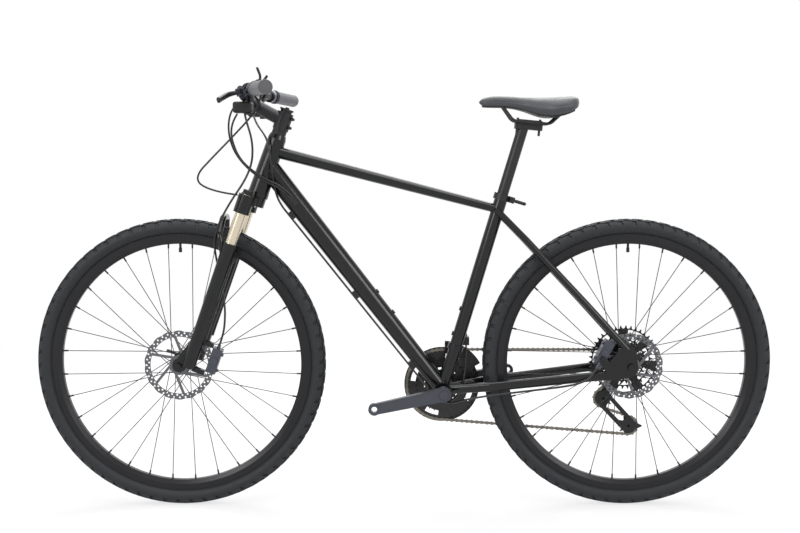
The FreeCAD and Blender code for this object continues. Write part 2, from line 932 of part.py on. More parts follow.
def spoke_lines(centre, left_y, right_y):
    """Elbow, head and nipple places of every spoke."""
    rows = []
    step = 360.0 / spoke_count
    turn = 360.0 * spoke_cross * 2 / spoke_count
    stand = flange_thickness / 2 + spoke_r + spoke_clear
    for k in range(spoke_count):
        left = k % 2 == 0
        flange_y = left_y if left else right_y
        rim_angle = 90 + step / 2 + k * step
        leading = (k // 2) % 2 == 0
        hub_angle = rim_angle + (turn if leading else -turn)
        face = 1 if leading else -1
        elbow = centre + slope(hub_angle) * flange_hole_radius + across * (flange_y + face * stand)
        far = centre + slope(hub_angle) * flange_hole_radius + across * (flange_y - face * stand)
        stagger = -rim_stagger if left else rim_stagger
        rim = centre + slope(rim_angle) * (rim_bed_radius + rim_wall) + across * stagger
        rows.append((elbow, far, rim))
    return rows


def make_spokes(rows):
    spokes = []
    elbows = []
    nipples = []
    for elbow, far, rim in rows:
        d = (rim - elbow).normalize()
        shaft = rod(elbow, rim - d * (nipple_length / 2), spoke_r)
        bend = rod(elbow, far, elbow_r)
        ball = Part.makeSphere(elbow_r, elbow)
        nipple = rod(rim - d * nipple_length, rim, nipple_r)
        spokes.append(fuse([shaft, bend, ball, nipple]))
        elbows.append(bend)
        nipples.append(nipple)
    return spokes, elbows, nipples


def make_rim(centre, nipples):
    rim = spun(rim_section(0), centre).cut(spun(rim_section(rim_wall), centre))
    stem = rod(centre + upright * valve_tip_radius, centre + upright * rim_bead_radius, valve_r)
    cap_top = valve_tip_radius + valve_cap_length
    cap = rod(centre + upright * valve_tip_radius, centre + upright * cap_top, valve_cap_r)
    rim = cut(rim, nipples + [stem])
    return group([rim, fuse([stem, cap])])


def hub_outline(left_end, left_y, right_y, right_end, rotor_y):
    half = flange_thickness / 2
    face = rotor_y + rotor_thickness / 2
    shelf = face + rotor_carrier_width
    return [
        (left_end, hub_bore_r), (left_end, hub_end_r), (rotor_y - rotor_thickness, hub_end_r),
        (rotor_y - rotor_thickness, rotor_spigot_radius), (face, rotor_spigot_radius),
        (face, rotor_centre_radius), (shelf, rotor_centre_radius), (shelf, hub_shell_r),
        (left_y - half, hub_shell_r), (left_y - half, flange_radius), (left_y + half, flange_radius),
        (left_y + half, hub_shell_r), (right_y - half, hub_shell_r), (right_y - half, flange_radius),
        (right_y + half, flange_radius), (right_y + half, hub_end_r), (right_end, hub_end_r),
        (right_end, hub_bore_r),
    ]


def make_rotor(centre, radius, y):
    low = y - rotor_thickness / 2
    base = V(centre.x, low, centre.z)
    lift = across * rotor_thickness

    def polar(r, a):
        return base + slope(a) * r

    step = 360.0 / rotor_waves
    edges = []
    for k in range(rotor_waves):
        a = k * step
        edges.append(Part.Arc(polar(radius - rotor_wave, a), polar(radius, a + step / 2),
                              polar(radius - rotor_wave, a + step)).toShape())
    band_inner = radius - rotor_band
    band = Part.Face(Part.Wire(edges)).extrude(lift)
    holes = [rod(base - across * overrun, base + lift + across * overrun, band_inner)]
    hole_step = 360.0 / rotor_hole_count
    for k in range(rotor_hole_count):
        for row in (0, 1):
            at = polar(radius - rotor_row_edge - row * rotor_row_step, (k + row / 2) * hole_step)
            holes.append(rod(at - across * overrun, at + lift + across * overrun, rotor_hole_r))
    band = band.cut(group(holes))
    pieces = [band, rod(base, base + lift, rotor_centre_radius)]
    for k in range(rotor_arm_count):
        a = k * 360.0 / rotor_arm_count
        inner = polar(rotor_centre_radius - rotor_arm_width / 2, a)
        outer = polar(band_inner + rotor_arm_width / 3, a + rotor_arm_lean)
        d = (outer - inner).normalize()
        side = across.cross(d) * (rotor_arm_width / 2)
        ring = [inner + side, outer + side, outer - side, inner - side, inner + side]
        pieces.append(Part.Face(Part.makePolygon(ring)).extrude(lift))
    disc = fuse(pieces)
    disc = disc.cut(rod(base - across * overrun, base + lift + across * overrun, rotor_spigot_radius))
    bolts = []
    for k in range(rotor_arm_count):
        at = polar(rotor_bolt_circle, (k + 1 / 2) * 360.0 / rotor_arm_count)
        bolts.append(rod(at - across * rotor_bolt_height, at, rotor_bolt_r))
    return disc, bolts


def make_axle(centre, outer, lever_angle):
    """Axle with its nut on the left and its lever on the right."""
    shaft = rod(centre - across * outer, centre + across * outer, axle_r)
    nut = rod(centre - across * (outer + axle_nut_length), centre - across * outer, axle_nut_r)
    cam = rod(centre + across * outer, centre + across * (outer + axle_nut_length), axle_nut_r)
    root = centre + across * (outer + axle_nut_length / 2 + axle_lever_r / 2)
    tip = root + slope(lever_angle) * axle_lever_length + across * axle_lever_r
    handle = fuse([rod(root, tip, axle_lever_r), Part.makeSphere(axle_lever_r, tip)])
    return fuse([shaft, nut, cam, handle])


def wheel_nodes(name, centre, left_end, left_y, right_y, right_end, rotor_radius, rotor_y):
    rows = spoke_lines(centre, left_y, right_y)
    spokes, elbows, nipples = make_spokes(rows)
    hub = cut(spun(hub_outline(left_end, left_y, right_y, right_end, rotor_y), centre), [group(elbows)])
    rotor, bolts = make_rotor(centre, rotor_radius, rotor_y)
    return {
        name + "_tyre": make_tyre(centre),
        name + "_rim": make_rim(centre, nipples),
        name + "_spokes": group(spokes),
        name + "_hub": hub,
        name + "_rotor": group([rotor] + bolts),
    }


# cables

down_top = steer_at(-down_start, 0)
down_dir = (bb - down_top).normalize()
down_span = (bb - down_top).Length
down_under = across.cross(down_dir)
if down_under.z > 0:
    down_under = down_under * -1


def down_half(t):
    return (down_top_tall + (down_low_tall - down_top_tall) * t / down_span) / 2


def down_side(t):
    return (down_top_wide + (down_low_wide - down_top_wide) * t / down_span) / 2


def under_line():
    """Ends of the straight run of the rear hose under the down tube."""
    rows = []
    for t in (guide_at[0], guide_at[-1]):
        rows.append(down_top + down_dir * t + down_under * (down_half(t) + under_gap) - across * under_side)
    d = (rows[1] - rows[0]).normalize()
    return rows[0] - d * guide_length, rows[1] + d * guide_length


hose_start, hose_end = under_line()
loops = [cord(p, cable_bend, cable_r) for p in (loop_a, loop_b)]
rear_hose = cord([hose_start, hose_end] + rear_hose_tail, cable_bend, hose_r)
meeting = hose_start - (hose_end - hose_start).normalize() * running_gap
loops.append(cord(loop_c + [meeting], cable_bend, hose_r))
shift_cord = cord(shift_tail, cable_bend, cable_r)
gear_cord = cord(gear_tail, cable_bend, cable_r)
front_hose = cord(front_hose_run, cable_bend, hose_r)
lockout_cord = cord(lockout_run, cable_bend, cable_r)


# main frame

head_low = steer_at(-head_length, 0)
top_front = steer_at(-top_start, 0)
top_rear = bb + seat_dir * top_end
seat_top = bb + seat_dir * seat_tube_length
top_dir = (top_rear - top_front).normalize()
top_over = top_dir.cross(across)
if top_over.z < 0:
    top_over = top_over * -1
down_size0 = (down_top_tall, down_top_wide)
down_size1 = (down_low_tall, down_low_wide)
top_size0 = (top_front_wide, top_front_tall)
top_size1 = (top_rear_wide, top_rear_tall)


head_solid = cone(head_low, head_top, head_bottom_r, head_top_r)
shell_solid = rod(bb - across * (shell_width / 2), bb + across * (shell_width / 2), shell_r)
seat_solid = rod(bb, seat_top, seat_tube_r)
down_solid = oval_loft(down_top, bb, down_under, across, down_size0, down_size1)
top_solid = oval_loft(top_front, top_rear, across, top_over, top_size0, top_size1)


def make_head_tube():
    bore = rod(steer_at(-head_length - overrun, 0), steer_at(overrun, 0), head_bore_r)
    tube = head_solid.cut(bore)
    steerer = rod(steer_at(-head_length - cup_bottom_height - overrun, 0),
                  steer_at(cup_top_height + overrun, 0), steerer_r + running_gap)
    upper = cone(head_top, steer_at(cup_top_height, 0), head_top_r, cup_top_r).cut(steerer)
    lower = rod(steer_at(-head_length - cup_bottom_height, 0), head_low, cup_bottom_r).cut(steerer)
    return group([tube, upper, lower])


def boss_places():
    rows = []
    for t in down_boss_at:
        at = down_top + down_dir * t
        out = down_under * -1
        rows.append((at + out * down_half(t), out))
    for t in seat_boss_at:
        at = bb + seat_dir * t
        rows.append((at + seat_fwd * seat_tube_r, seat_fwd))
    return rows


def boss_holes():
    rows = boss_places()
    return [rod(p - d * boss_depth, p + d * (boss_height + overrun), boss_hole_r) for p, d in rows]


def boss_seats():
    return [rod(p - d * boss_depth, p + d * boss_height, boss_r) for p, d in boss_places()]


def make_down_tube():
    inner = oval_loft(down_top, bb, down_under, across, thinner(down_size0), thinner(down_size1))
    return cut(down_solid.cut(inner), [head_solid, shell_solid, shift_cord] + boss_seats())


def make_top_tube():
    inner = oval_loft(top_front, top_rear, across, top_over, thinner(top_size0), thinner(top_size1))
    return cut(top_solid.cut(inner), [head_solid, seat_solid])


def make_seat_tube():
    bore = rod(bb, seat_top + seat_dir * overrun, post_r + slide_gap)
    return cut(seat_solid.cut(bore), [shell_solid, down_solid] + boss_seats())


def make_shell():
    reach = shell_width / 2
    bore = rod(bb - across * (reach + overrun), bb + across * (reach + overrun), shell_bore_r)
    parts = [shell_solid.cut(bore)]
    spindle = rod(bb - across * (reach + bearing_cup_lip + overrun), bb + across * (reach + bearing_cup_lip + overrun),
                  spindle_r + running_gap)
    for s in (1, -1):
        lip = rod(bb + across * (s * reach), bb + across * (s * (reach + bearing_cup_lip)), bearing_cup_r)
        sleeve = rod(bb + across * (s * (reach - bearing_cup_depth)), bb + across * (s * reach), shell_bore_r)
        parts.append(fuse([lip, sleeve]).cut(spindle))
    return group(parts)


def stay_sweep(points, bend, a, b):
    """Oval stay along a route, its long side upright."""
    path = route(points, bend)
    start = path.Edges[0].valueAt(path.Edges[0].FirstParameter)
    d = path.Edges[0].tangentAt(path.Edges[0].FirstParameter)
    wide = d.cross(upright).normalize()
    tall = wide.cross(d).normalize()
    outer = path.makePipeShell([oval(start, tall, wide, a, b)], True, False)
    inner = path.makePipeShell([oval(start, tall, wide, a - tube_wall, b - tube_wall)], True, False)
    return outer, inner


def dropout_plates():
    inner = rear_old / 2
    outer = inner + dropout_thickness
    left = plate(dropout_outline, -outer, -inner)
    lug = plate(brake_lug_outline, -outer, -inner)
    right = plate(dropout_outline, inner, outer)
    hanger = hull_plate(V(rear_axle_x, 0, tyre_radius), hanger_r, V(hanger_x, 0, hanger_z), hanger_r, inner, outer)
    axle = cross_rod(rear_axle_x, tyre_radius, -outer - overrun, outer + overrun, axle_r)
    hanger_bore = cross_rod(hanger_x, hanger_z, inner - overrun, outer + overrun, hanger_bore_r)
    eyes = []
    holes = []
    for y0, y1 in ((-outer, -inner), (inner, outer)):
        root = V(eyelet_x - eyelet_neck * 2, 0, eyelet_z - eyelet_neck)
        eyes.append(hull_plate(root, eyelet_outer_r, V(eyelet_x, 0, eyelet_z), eyelet_outer_r, y0, y1))
        holes.append(cross_rod(eyelet_x, eyelet_z, y0 - overrun, y1 + overrun, eyelet_r))
    left = cut(fuse([left, lug, eyes[0]]), [axle, holes[0]])
    right = cut(fuse([right, hanger, eyes[1]]), [axle, hanger_bore, holes[1]])
    return left, right


left_dropout, right_dropout = dropout_plates()


def make_stays():
    chain_left = stay_sweep(side_points(chainstay_points, -1), chainstay_bend, chainstay_tall / 2, chainstay_wide / 2)
    seat_line = side_points(seatstay_points, -1)
    seat_left = (cord(seat_line, seatstay_bend, seatstay_r), cord(seat_line, seatstay_bend, seatstay_r - tube_wall))
    chain_bridge = cross_rod(chain_bridge_x, chain_bridge_z, -seat_tube_length, seat_tube_length, bridge_r)
    seat_bridge = cross_rod(seat_bridge_x, seat_bridge_z, -seat_tube_length, seat_tube_length, bridge_r)
    stays = {}
    solids = {"chainstays": (chain_left, chain_bridge), "seatstays": (seat_left, seat_bridge)}
    for name, ((solid, inner), bridge) in solids.items():
        tube = solid.cut(inner)
        left = cut(tube, [shell_solid, seat_solid, down_solid, left_dropout])
        right = cut(mirrored(tube), [shell_solid, seat_solid, down_solid, right_dropout, gear_cord])
        middle = cut(bridge, [solid, mirrored(solid)])
        centre = min(middle.Solids, key=lambda s: abs(s.CenterOfMass.y))
        stays[name] = group([largest(left), largest(right), centre])
    return stays


def make_bosses():
    """Bottle bosses, cable guides under the down tube and the cable port on its side."""
    pieces = [cut(seat, [hole]) for seat, hole in zip(boss_seats(), boss_holes())]
    for t in guide_at:
        at = down_top + down_dir * t
        body = block(at + down_under * (down_half(t) + guide_height / 2 - boss_height), down_dir, across,
                     guide_length, guide_width, guide_height + boss_height)
        pieces.append(cut(body, [down_solid, rod(*under_line(), hose_r), shift_cord]))
    at = down_top + down_dir * port_at
    port = block(at - across * (down_side(port_at) + port_width / 2 - boss_height), down_dir, across,
                 port_length, port_width + boss_height, port_tall)
    port = cut(port, [down_solid] + loops[:2])
    pieces.append(largest(port))
    return group(pieces)


def make_seat_clamp():
    low = seat_top - seat_dir * collar_height
    ring = rod(low, seat_top, collar_r)
    ear_at = seat_top - seat_dir * (collar_height / 2) - seat_fwd * (collar_r + collar_ear / 3)
    ear = block(ear_at, seat_dir, across, collar_height, collar_ear_width, collar_ear * 2)
    bolt_at = ear_at - seat_fwd * (collar_ear / 3)
    bolt = rod(bolt_at - across * clamp_bolt_reach, bolt_at + across * (clamp_bolt_reach / 2), clamp_bolt_r)
    nut = rod(bolt_at + across * (collar_ear_width / 2),
              bolt_at + across * (collar_ear_width / 2 + clamp_nut_length), clamp_nut_r)
    body = fuse([ring, ear, bolt, nut])
    body = body.cut(rod(low - seat_dir * overrun, seat_top + seat_dir * overrun, seat_tube_r))
    eye_in = bolt_at - across * (collar_ear_width / 2 + running_gap)
    eye_out = bolt_at - across * (clamp_bolt_reach - running_gap)
    eye = rod(eye_in, eye_out, clamp_nut_r)
    mid = middle(eye_in, eye_out)
    tip = mid - seat_fwd * clamp_lever_length - across * clamp_lever_r
    arm = fuse([rod(mid, tip, clamp_lever_r), Part.makeSphere(clamp_lever_r, tip)])
    hole = rod(bolt_at - across * (clamp_bolt_reach + overrun), bolt_at, clamp_bolt_r + running_gap)
    return body, fuse([eye, arm]).cut(hole)


# seatpost and saddle

post_low = seat_top - seat_dir * post_insert
post_high = post_low + seat_dir * post_length
cradle_dir = slope(-cradle_pitch)
cradle_up = slope(90 - cradle_pitch)
cradle = V(cradle_x, 0, cradle_z)


def rails():
    return [cord(side_points(rail_points, s), rail_bend, rail_r) for s in (1, -1)]


def head_bolts():
    bolts = []
    for s in (1, -1):
        at = cradle + cradle_dir * (s * head_bolt_span / 2)
        bolts.append(rod(at - cradle_up * (head_bolt_length / 2), at + cradle_up * (head_bolt_length / 2), head_bolt_r))
    return bolts


def make_seatpost():
    tube = rod(post_low, post_high, post_r).cut(rod(post_low - seat_dir * overrun, post_high, post_r - post_wall))
    seat = rod(post_high - seat_dir * post_wall, post_high, post_r)
    body = fuse([tube, seat])
    room = cradle + cradle_up * (cradle_height / 2)
    return cut(body, [block(room, cradle_dir, across, cradle_length, cradle_width, cradle_height * 2)] + head_bolts())


def make_saddle_clamp():
    lower = block(cradle, cradle_dir, across, cradle_length, cradle_width, cradle_height)
    upper_at = cradle + cradle_up * clamp_plate_lift
    upper = block(upper_at, cradle_dir, across, clamp_plate_length, clamp_plate_width, clamp_plate_height)
    return cut(fuse([lower, upper] + head_bolts()), rails())


def saddle_wire(k):
    """One cross-section of the saddle."""
    x = saddle_stations[k]
    w = saddle_half_widths[k]
    low = saddle_lows[k]
    rise = saddle_tops[k] - low
    right = [V(x, w * a, low + rise * b) for a, b in saddle_side_shares]
    left = [V(x, -p.y, p.z) for p in right]
    over = Part.BSplineCurve()
    over.interpolate(right + [V(x, 0, saddle_tops[k])] + left[::-1])
    return Part.Wire([over.toShape(), Part.makeLine(left[0], right[0])])


def make_saddle_cover():
    wires = [saddle_wire(k) for k in range(len(saddle_stations))]
    return Part.makeLoft(wires, True, False)


def make_saddle_base(cover):
    wires = []
    for k, x in enumerate(saddle_stations):
        w = saddle_half_widths[k] * base_share * saddle_side_shares[0][0]
        z = saddle_lows[k]
        pts = [V(x, -w, z - base_thickness), V(x, w, z - base_thickness), V(x, w, z), V(x, -w, z)]
        wires.append(Part.makePolygon(pts + pts[:1]))
    return Part.makeLoft(wires[1:-1], True, False).cut(cover)


# crank set

crank_dir = slope(crank_angle)


def crank_arm(side, boss_inner, boss_outer):
    """One arm from its boss to its pedal eye."""
    d = crank_dir * (1 if side < 0 else -1)
    end = bb + d * crank_length
    boss = rod(bb + across * boss_inner, bb + across * boss_outer, crank_boss_r)
    eye = rod(end + across * (side * crank_end_inner), end + across * (side * crank_end_outer), crank_end_r)
    tall = across.cross(d)
    wires = []
    for base, half, y0, y1 in ((bb, crank_boss_r, boss_inner, boss_outer),
                               (end, crank_end_r, side * crank_end_inner, side * crank_end_outer)):
        h = tall * (half * crank_arm_share)
        pts = [base + across * y0 + h, base + across * y1 + h, base + across * y1 - h, base + across * y0 - h]
        wires.append(Part.makePolygon(pts + pts[:1]))
    arm = Part.makeLoft(wires, True, True)
    body = fuse([boss, eye, arm])
    through = rod(end + across * (side * (crank_end_inner - overrun)),
                  end + across * (side * (crank_end_outer + overrun)), pedal_hole_r)
    axis = rod(bb + across * (boss_inner - side * overrun), bb + across * (boss_outer + side * overrun), spindle_r)
    return cut(body, [through, axis])


mid_ring_y = chain_y - ring_spacing
low_ring_y = chain_y - ring_spacing * 2
spider_in = mid_ring_y + tooth_thickness / 2
spider_out = chain_y - tooth_thickness / 2
guard_in = chain_y + outer_plate_out + guard_gap


def spider_angles():
    return [spider_turn + k * 360.0 / spider_arms for k in range(spider_arms)]


def ring_bolts(y0, y1, r):
    return [rod(bb + slope(a) * ring_bolt_circle + across * y0, bb + slope(a) * ring_bolt_circle + across * y1, r)
            for a in spider_angles()]


def make_right_arm():
    arm = crank_arm(1, right_boss_inner, right_boss_outer)
    hub = rod(bb + across * spider_in, bb + across * right_boss_inner, crank_boss_r * spider_hub_share)
    pieces = [hub]
    for a in spider_angles():
        d = slope(a)
        width = spider_arm_width
        middle = bb + d * (spider_reach / 2) + across * ((spider_in + spider_out) / 2)
        pieces.append(block(middle, d, across, spider_reach, spider_out - spider_in, width))
        post = bb + d * inner_post_circle
        pieces.append(rod(post + across * (low_ring_y + tooth_thickness / 2), post + across * spider_out, inner_post_r))
    spider = cut(fuse(pieces), [rod(bb, bb + across * (spindle_right + overrun), spindle_r)])
    spider = cut(spider, ring_bolts(mid_ring_y - overrun, chain_y + overrun, ring_bolt_r))
    return fuse([arm, spider, make_spindle()])


def windows(y0, y1):
    step = 360.0 / spider_arms
    return [sector(bb, window_inner_r, window_outer_r, a + step / 2 - window_half_angle,
                   a + step / 2 + window_half_angle, y0, y1) for a in spider_angles()]


def make_chainrings():
    big = sprocket(V(bb_x, chain_y, bb_z), big_ring_teeth, phase_on(0), tooth_thickness, outer_ring_bore_r)
    big = cut(big, windows(chain_y - overrun, chain_y + overrun))
    big = cut(big, ring_bolts(chain_y - overrun, chain_y + overrun, ring_bolt_r))
    mid = sprocket(V(bb_x, mid_ring_y, bb_z), mid_ring_teeth, 0, tooth_thickness, outer_ring_bore_r)
    mid = cut(mid, ring_bolts(mid_ring_y - overrun, mid_ring_y + overrun, ring_bolt_r))
    low = sprocket(V(bb_x, low_ring_y, bb_z), low_ring_teeth, 0, tooth_thickness, inner_ring_bore_r)
    return group([big, mid, low])


def make_guard():
    y1 = guard_in + guard_thickness
    ring = rod(bb + across * guard_in, bb + across * y1, guard_outer_r)
    ring = ring.cut(rod(bb + across * (guard_in - overrun), bb + across * (y1 + overrun), guard_inner_r))
    pieces = [ring]
    for a in spider_angles():
        d = slope(a)
        span = guard_inner_r - ring_bolt_circle + ring_bolt_r * 3
        middle = bb + d * (ring_bolt_circle - ring_bolt_r * 2 + span / 2) + across * ((guard_in + y1) / 2)
        pieces.append(block(middle, d, across, span, guard_thickness, spider_arm_width))
    bolts = ring_bolts(mid_ring_y - tooth_thickness / 2, y1, ring_bolt_r)
    heads = ring_bolts(y1, y1 + ring_bolt_head, ring_bolt_r * ring_bolt_head_share)
    return fuse(pieces + bolts + heads)


def make_spindle():
    shaft = rod(bb + across * spindle_left, bb + across * spindle_right, spindle_r)
    left = rod(bb + across * (left_boss_outer - crank_bolt_height), bb + across * left_boss_outer, crank_bolt_r)
    right = rod(bb + across * right_boss_outer, bb + across * (right_boss_outer + crank_bolt_height), crank_bolt_r)
    shaft_left = rod(bb + across * left_boss_outer, bb + across * spindle_left, spindle_r)
    shaft_right = rod(bb + across * spindle_right, bb + across * right_boss_outer, spindle_r)
    return fuse([shaft, left, right, shaft_left, shaft_right])


# cassette and derailleurs

def make_cassette():
    pieces = []
    phase = phase_on(6)
    for k, teeth in enumerate(cassette_teeth):
        y = chain_y - k * cog_spacing
        cog = sprocket(V(rear_axle_x, y, tyre_radius), teeth, phase, tooth_thickness, freehub_r)
        if teeth >= cog_window_teeth:
            outer = pitch_radius(teeth) - cog_window_gap
            inner = freehub_r + cog_window_gap
            step = 360.0 / cog_window_count
            cog = cut(cog, [sector(V(rear_axle_x, 0, tyre_radius), inner, outer, j * step, j * step + step * cog_window_share,
                                   y - overrun / 2, y + overrun / 2) for j in range(cog_window_count)])
        pieces.append(cog)
        if k:
            low = V(rear_axle_x, y + tooth_thickness / 2, tyre_radius)
            high = V(rear_axle_x, y + cog_spacing - tooth_thickness / 2, tyre_radius)
            ring_r = freehub_r + cog_spacer_wall
            pieces.append(rod(low, high, ring_r).cut(rod(low, high, freehub_r)))
    start = rear_centre + across * freehub_start
    end = rear_centre + across * freehub_end
    body = rod(start, end, freehub_r)
    lock = rod(end, end + across * tooth_thickness, lockring_r)
    bore = rod(start - across * overrun, end + across * overrun, hub_bore_r)
    pieces.append(fuse([body, lock]).cut(bore))
    return group(pieces)


def make_pulley(centre, phase):
    wheel = sprocket(centre, pulley_teeth, phase, tooth_thickness, pulley_bore_r)
    hub = rod(centre - across * (pulley_hub_width / 2), centre + across * (pulley_hub_width / 2), pulley_hub_r)
    hub = hub.cut(rod(centre - across * overrun, centre + across * overrun, pulley_bore_r))
    return fuse([wheel, hub])


def make_cage():
    y_in = chain_y - cage_gap
    y_out = chain_y + cage_gap
    tail = lower_pulley_centre + slope(cage_tail_angle) * (cage_low_r * cage_tail_share)
    pieces = []
    for y0, y1 in ((y_in - cage_plate_thickness, y_in), (y_out, y_out + cage_plate_thickness)):
        pieces.append(hull_plate(upper_pulley_centre, cage_top_r, lower_pulley_centre, cage_low_r, y0, y1))
        if y0 < chain_y:
            pieces.append(hull_plate(lower_pulley_centre, cage_low_r, tail, cage_bolt_r, y0, y1))
    low = y_in - cage_plate_thickness
    high = y_out + cage_plate_thickness
    for c in (upper_pulley_centre, lower_pulley_centre):
        pieces.append(cross_rod(c.x, c.z, low, high, cage_bolt_r))
    return fuse(pieces)


def make_rear_derailleur():
    y0 = chain_y + cage_gap + cage_plate_thickness + knuckle_gap
    knuckle = cross_rod(upper_pulley_x, upper_pulley_z, y0, y0 + knuckle_width, knuckle_r)
    m0 = rear_old / 2 + dropout_thickness
    mount = cross_rod(hanger_x, hanger_z, m0, m0 + mount_knuckle_width, mount_knuckle_r)
    bolt = cross_rod(hanger_x, hanger_z, rear_old / 2, m0, hanger_bore_r)
    a = V(upper_pulley_x, y0 + knuckle_width - link_thickness / 2, upper_pulley_z)
    b = V(hanger_x, m0 + mount_knuckle_width - link_thickness / 2, hanger_z)
    d = (b - a).normalize()
    side = across.cross(d).normalize()
    arm = block(middle(a, b), d, side, (b - a).Length, link_width, link_thickness)
    hub = V(hanger_x, m0 + mount_knuckle_width / 2, hanger_z)
    barrel = rod(hub, hub + slope(barrel_angle) * (mount_knuckle_r + barrel_length), barrel_r)
    body = fuse([knuckle, mount, bolt, arm, barrel])
    return cut(body, [right_dropout, gear_cord])


def make_front_derailleur():
    at = bb + seat_dir * band_at
    half = seat_dir * (band_height / 2)
    band = rod(at - half, at + half, seat_tube_r + band_wall)
    pivot = V(*changer_pivot)
    body_mid = V(changer_body_x, (changer_body_inner + changer_body_outer) / 2, changer_body_z)
    body = block(body_mid, V(1, 0, 0), across, changer_body_length, changer_body_outer - changer_body_inner,
                 changer_body_height)
    pin = rod(pivot - V(changer_pin_length / 2, 0, 0), pivot + V(changer_pin_length / 2, 0, 0), changer_pin_r)
    ears = []
    for s in (1, -1):
        mid = V(pivot.x + s * (changer_pin_length / 2 - changer_rung_r), (changer_body_outer + pivot.y) / 2, pivot.z)
        ears.append(block(mid, V(1, 0, 0), across, changer_rung_r * 2,
                          pivot.y - changer_body_outer + changer_eye_r * 2, changer_eye_r * 2))
    fixed = fuse([band, body, pin] + ears).cut(seat_solid)
    eye = rod(pivot - V(changer_eye_length / 2, 0, 0), pivot + V(changer_eye_length / 2, 0, 0), changer_eye_r)
    inner = sector(bb, changer_cage_deep_r, changer_cage_outer_r, changer_start, changer_end,
                   changer_inner_y, changer_inner_y + changer_plate)
    outer = sector(bb, changer_cage_inner_r, changer_cage_outer_r, changer_start, changer_end,
                   changer_outer_y, changer_outer_y + changer_plate)
    y0 = changer_inner_y
    y1 = changer_outer_y + changer_plate
    pieces = [eye, inner, outer]
    for a in (changer_start + changer_plate, changer_end - changer_plate):
        c = bb + slope(a) * changer_rung_radius
        pieces.append(cross_rod(c.x, c.z, y0, y1, changer_rung_r))
    reach = math.degrees(math.acos((pivot.x - bb_x) / changer_cage_outer_r))
    foot = bb + slope(reach) * changer_cage_outer_r
    for y in (y0 + changer_plate / 2, y1 - changer_plate / 2):
        top = V(pivot.x, pivot.y, pivot.z)
        low = V(pivot.x, y, foot.z - changer_rung_r)
        pieces.append(rod(low, top, changer_rung_r))
    cage = fuse(pieces)
    hole = rod(pivot - V(changer_pin_length, 0, 0), pivot + V(changer_pin_length, 0, 0), changer_pin_r + running_gap)
    return fixed, cage.cut(hole)


# fork

def leg(s, side, n=leg_lead):
    return steer_at(-s, n, side * leg_y)


def make_crown():
    steerer = rod(steer_at(-crown_bottom, 0), steer_at(steerer_top, 0), steerer_r)
    boss = rod(steer_at(-crown_bottom, 0), steer_at(-crown_top - running_gap, 0), crown_boss_r)
    mid = steer_at(-(crown_top + running_gap + crown_bottom) / 2, leg_lead / 2)
    beam = block(mid, steer_fwd, across, crown_depth, leg_y * 2, crown_bottom - crown_top - running_gap)
    pieces = [steerer, boss, beam]
    for side in (1, -1):
        pieces.append(rod(leg(socket_bottom, side), leg(crown_top + running_gap, side), socket_r))
    body = fuse(pieces)
    tools = [rod(steer_at(-crown_bottom - overrun, 0), steer_at(steerer_top + overrun, 0), steerer_r - steerer_wall)]
    for side in (1, -1):
        tools.append(rod(leg(socket_bottom + overrun, side), leg(crown_top - overrun, side), stanchion_r))
    return cut(body, tools)


def make_stanchions():
    pieces = []
    for side in (1, -1):
        tube = rod(leg(stanchion_bottom, side), leg(stanchion_top, side), stanchion_r)
        tube = tube.cut(rod(leg(stanchion_bottom + overrun, side), leg(stanchion_top, side), stanchion_r - stanchion_wall))
        dial = rod(leg(stanchion_top, side), leg(stanchion_top - dial_height, side), dial_r)
        pieces.append(fuse([tube, dial]))
    return group(pieces)


def make_lowers():
    pieces = []
    for side in (1, -1):
        pieces.append(cone(leg(lower_bottom, side), leg(lower_top, side), lower_bottom_r, lower_top_r))
        pieces.append(rod(leg(rib_bottom, side, leg_lead - lower_bottom_r), leg(rib_top, side, leg_lead - lower_bottom_r),
                          rib_r))
        axle = steer_at(-axle_drop, axle_lead)
        y0, y1 = side * lug_inner_y, side * lug_outer_y
        low = axle + across * min(y0, y1)
        high = axle + across * max(y0, y1)
        pieces.append(rod(low, high, lug_r))
        boot = [steer_at(up - axle_drop, n) for up, n in boot_points]
        pieces.append(plate([(p.x, p.z) for p in boot], min(y0, y1), max(y0, y1)))
    left = [(s, n, -y) for s, n, y in arch_points]
    arch = [steer_at(s, n, y) for s, n, y in left + arch_points[::-1]]
    pieces.append(cord(arch, arch_bend, arch_r))
    for s in mount_tops:
        mid = steer_at(-s, leg_lead - lower_bottom_r - mount_reach / 2 + overrun, -(mount_inner_y + mount_outer_y) / 2)
        pieces.append(block(mid, steer_fwd, across, mount_reach + overrun * 2, mount_outer_y - mount_inner_y,
                            mount_thickness))
    body = fuse(pieces)
    tools = [rod(steer_at(-axle_drop, axle_lead, -leg_y * 2), steer_at(-axle_drop, axle_lead, leg_y * 2), axle_r)]
    for side in (1, -1):
        tools.append(rod(leg(lower_top, side), leg(seal_top, side), seal_r))
        tools.append(rod(leg(lower_bore_bottom, side), leg(seal_top - overrun, side), stanchion_r + slide_gap))
    body = cut(body, tools)
    seals = []
    for side in (1, -1):
        ring = rod(leg(lower_top, side), leg(seal_top, side), seal_r)
        seals.append(ring.cut(rod(leg(lower_bore_bottom, side), leg(seal_top - overrun, side), stanchion_r + slide_gap)))
    return group([body] + seals)


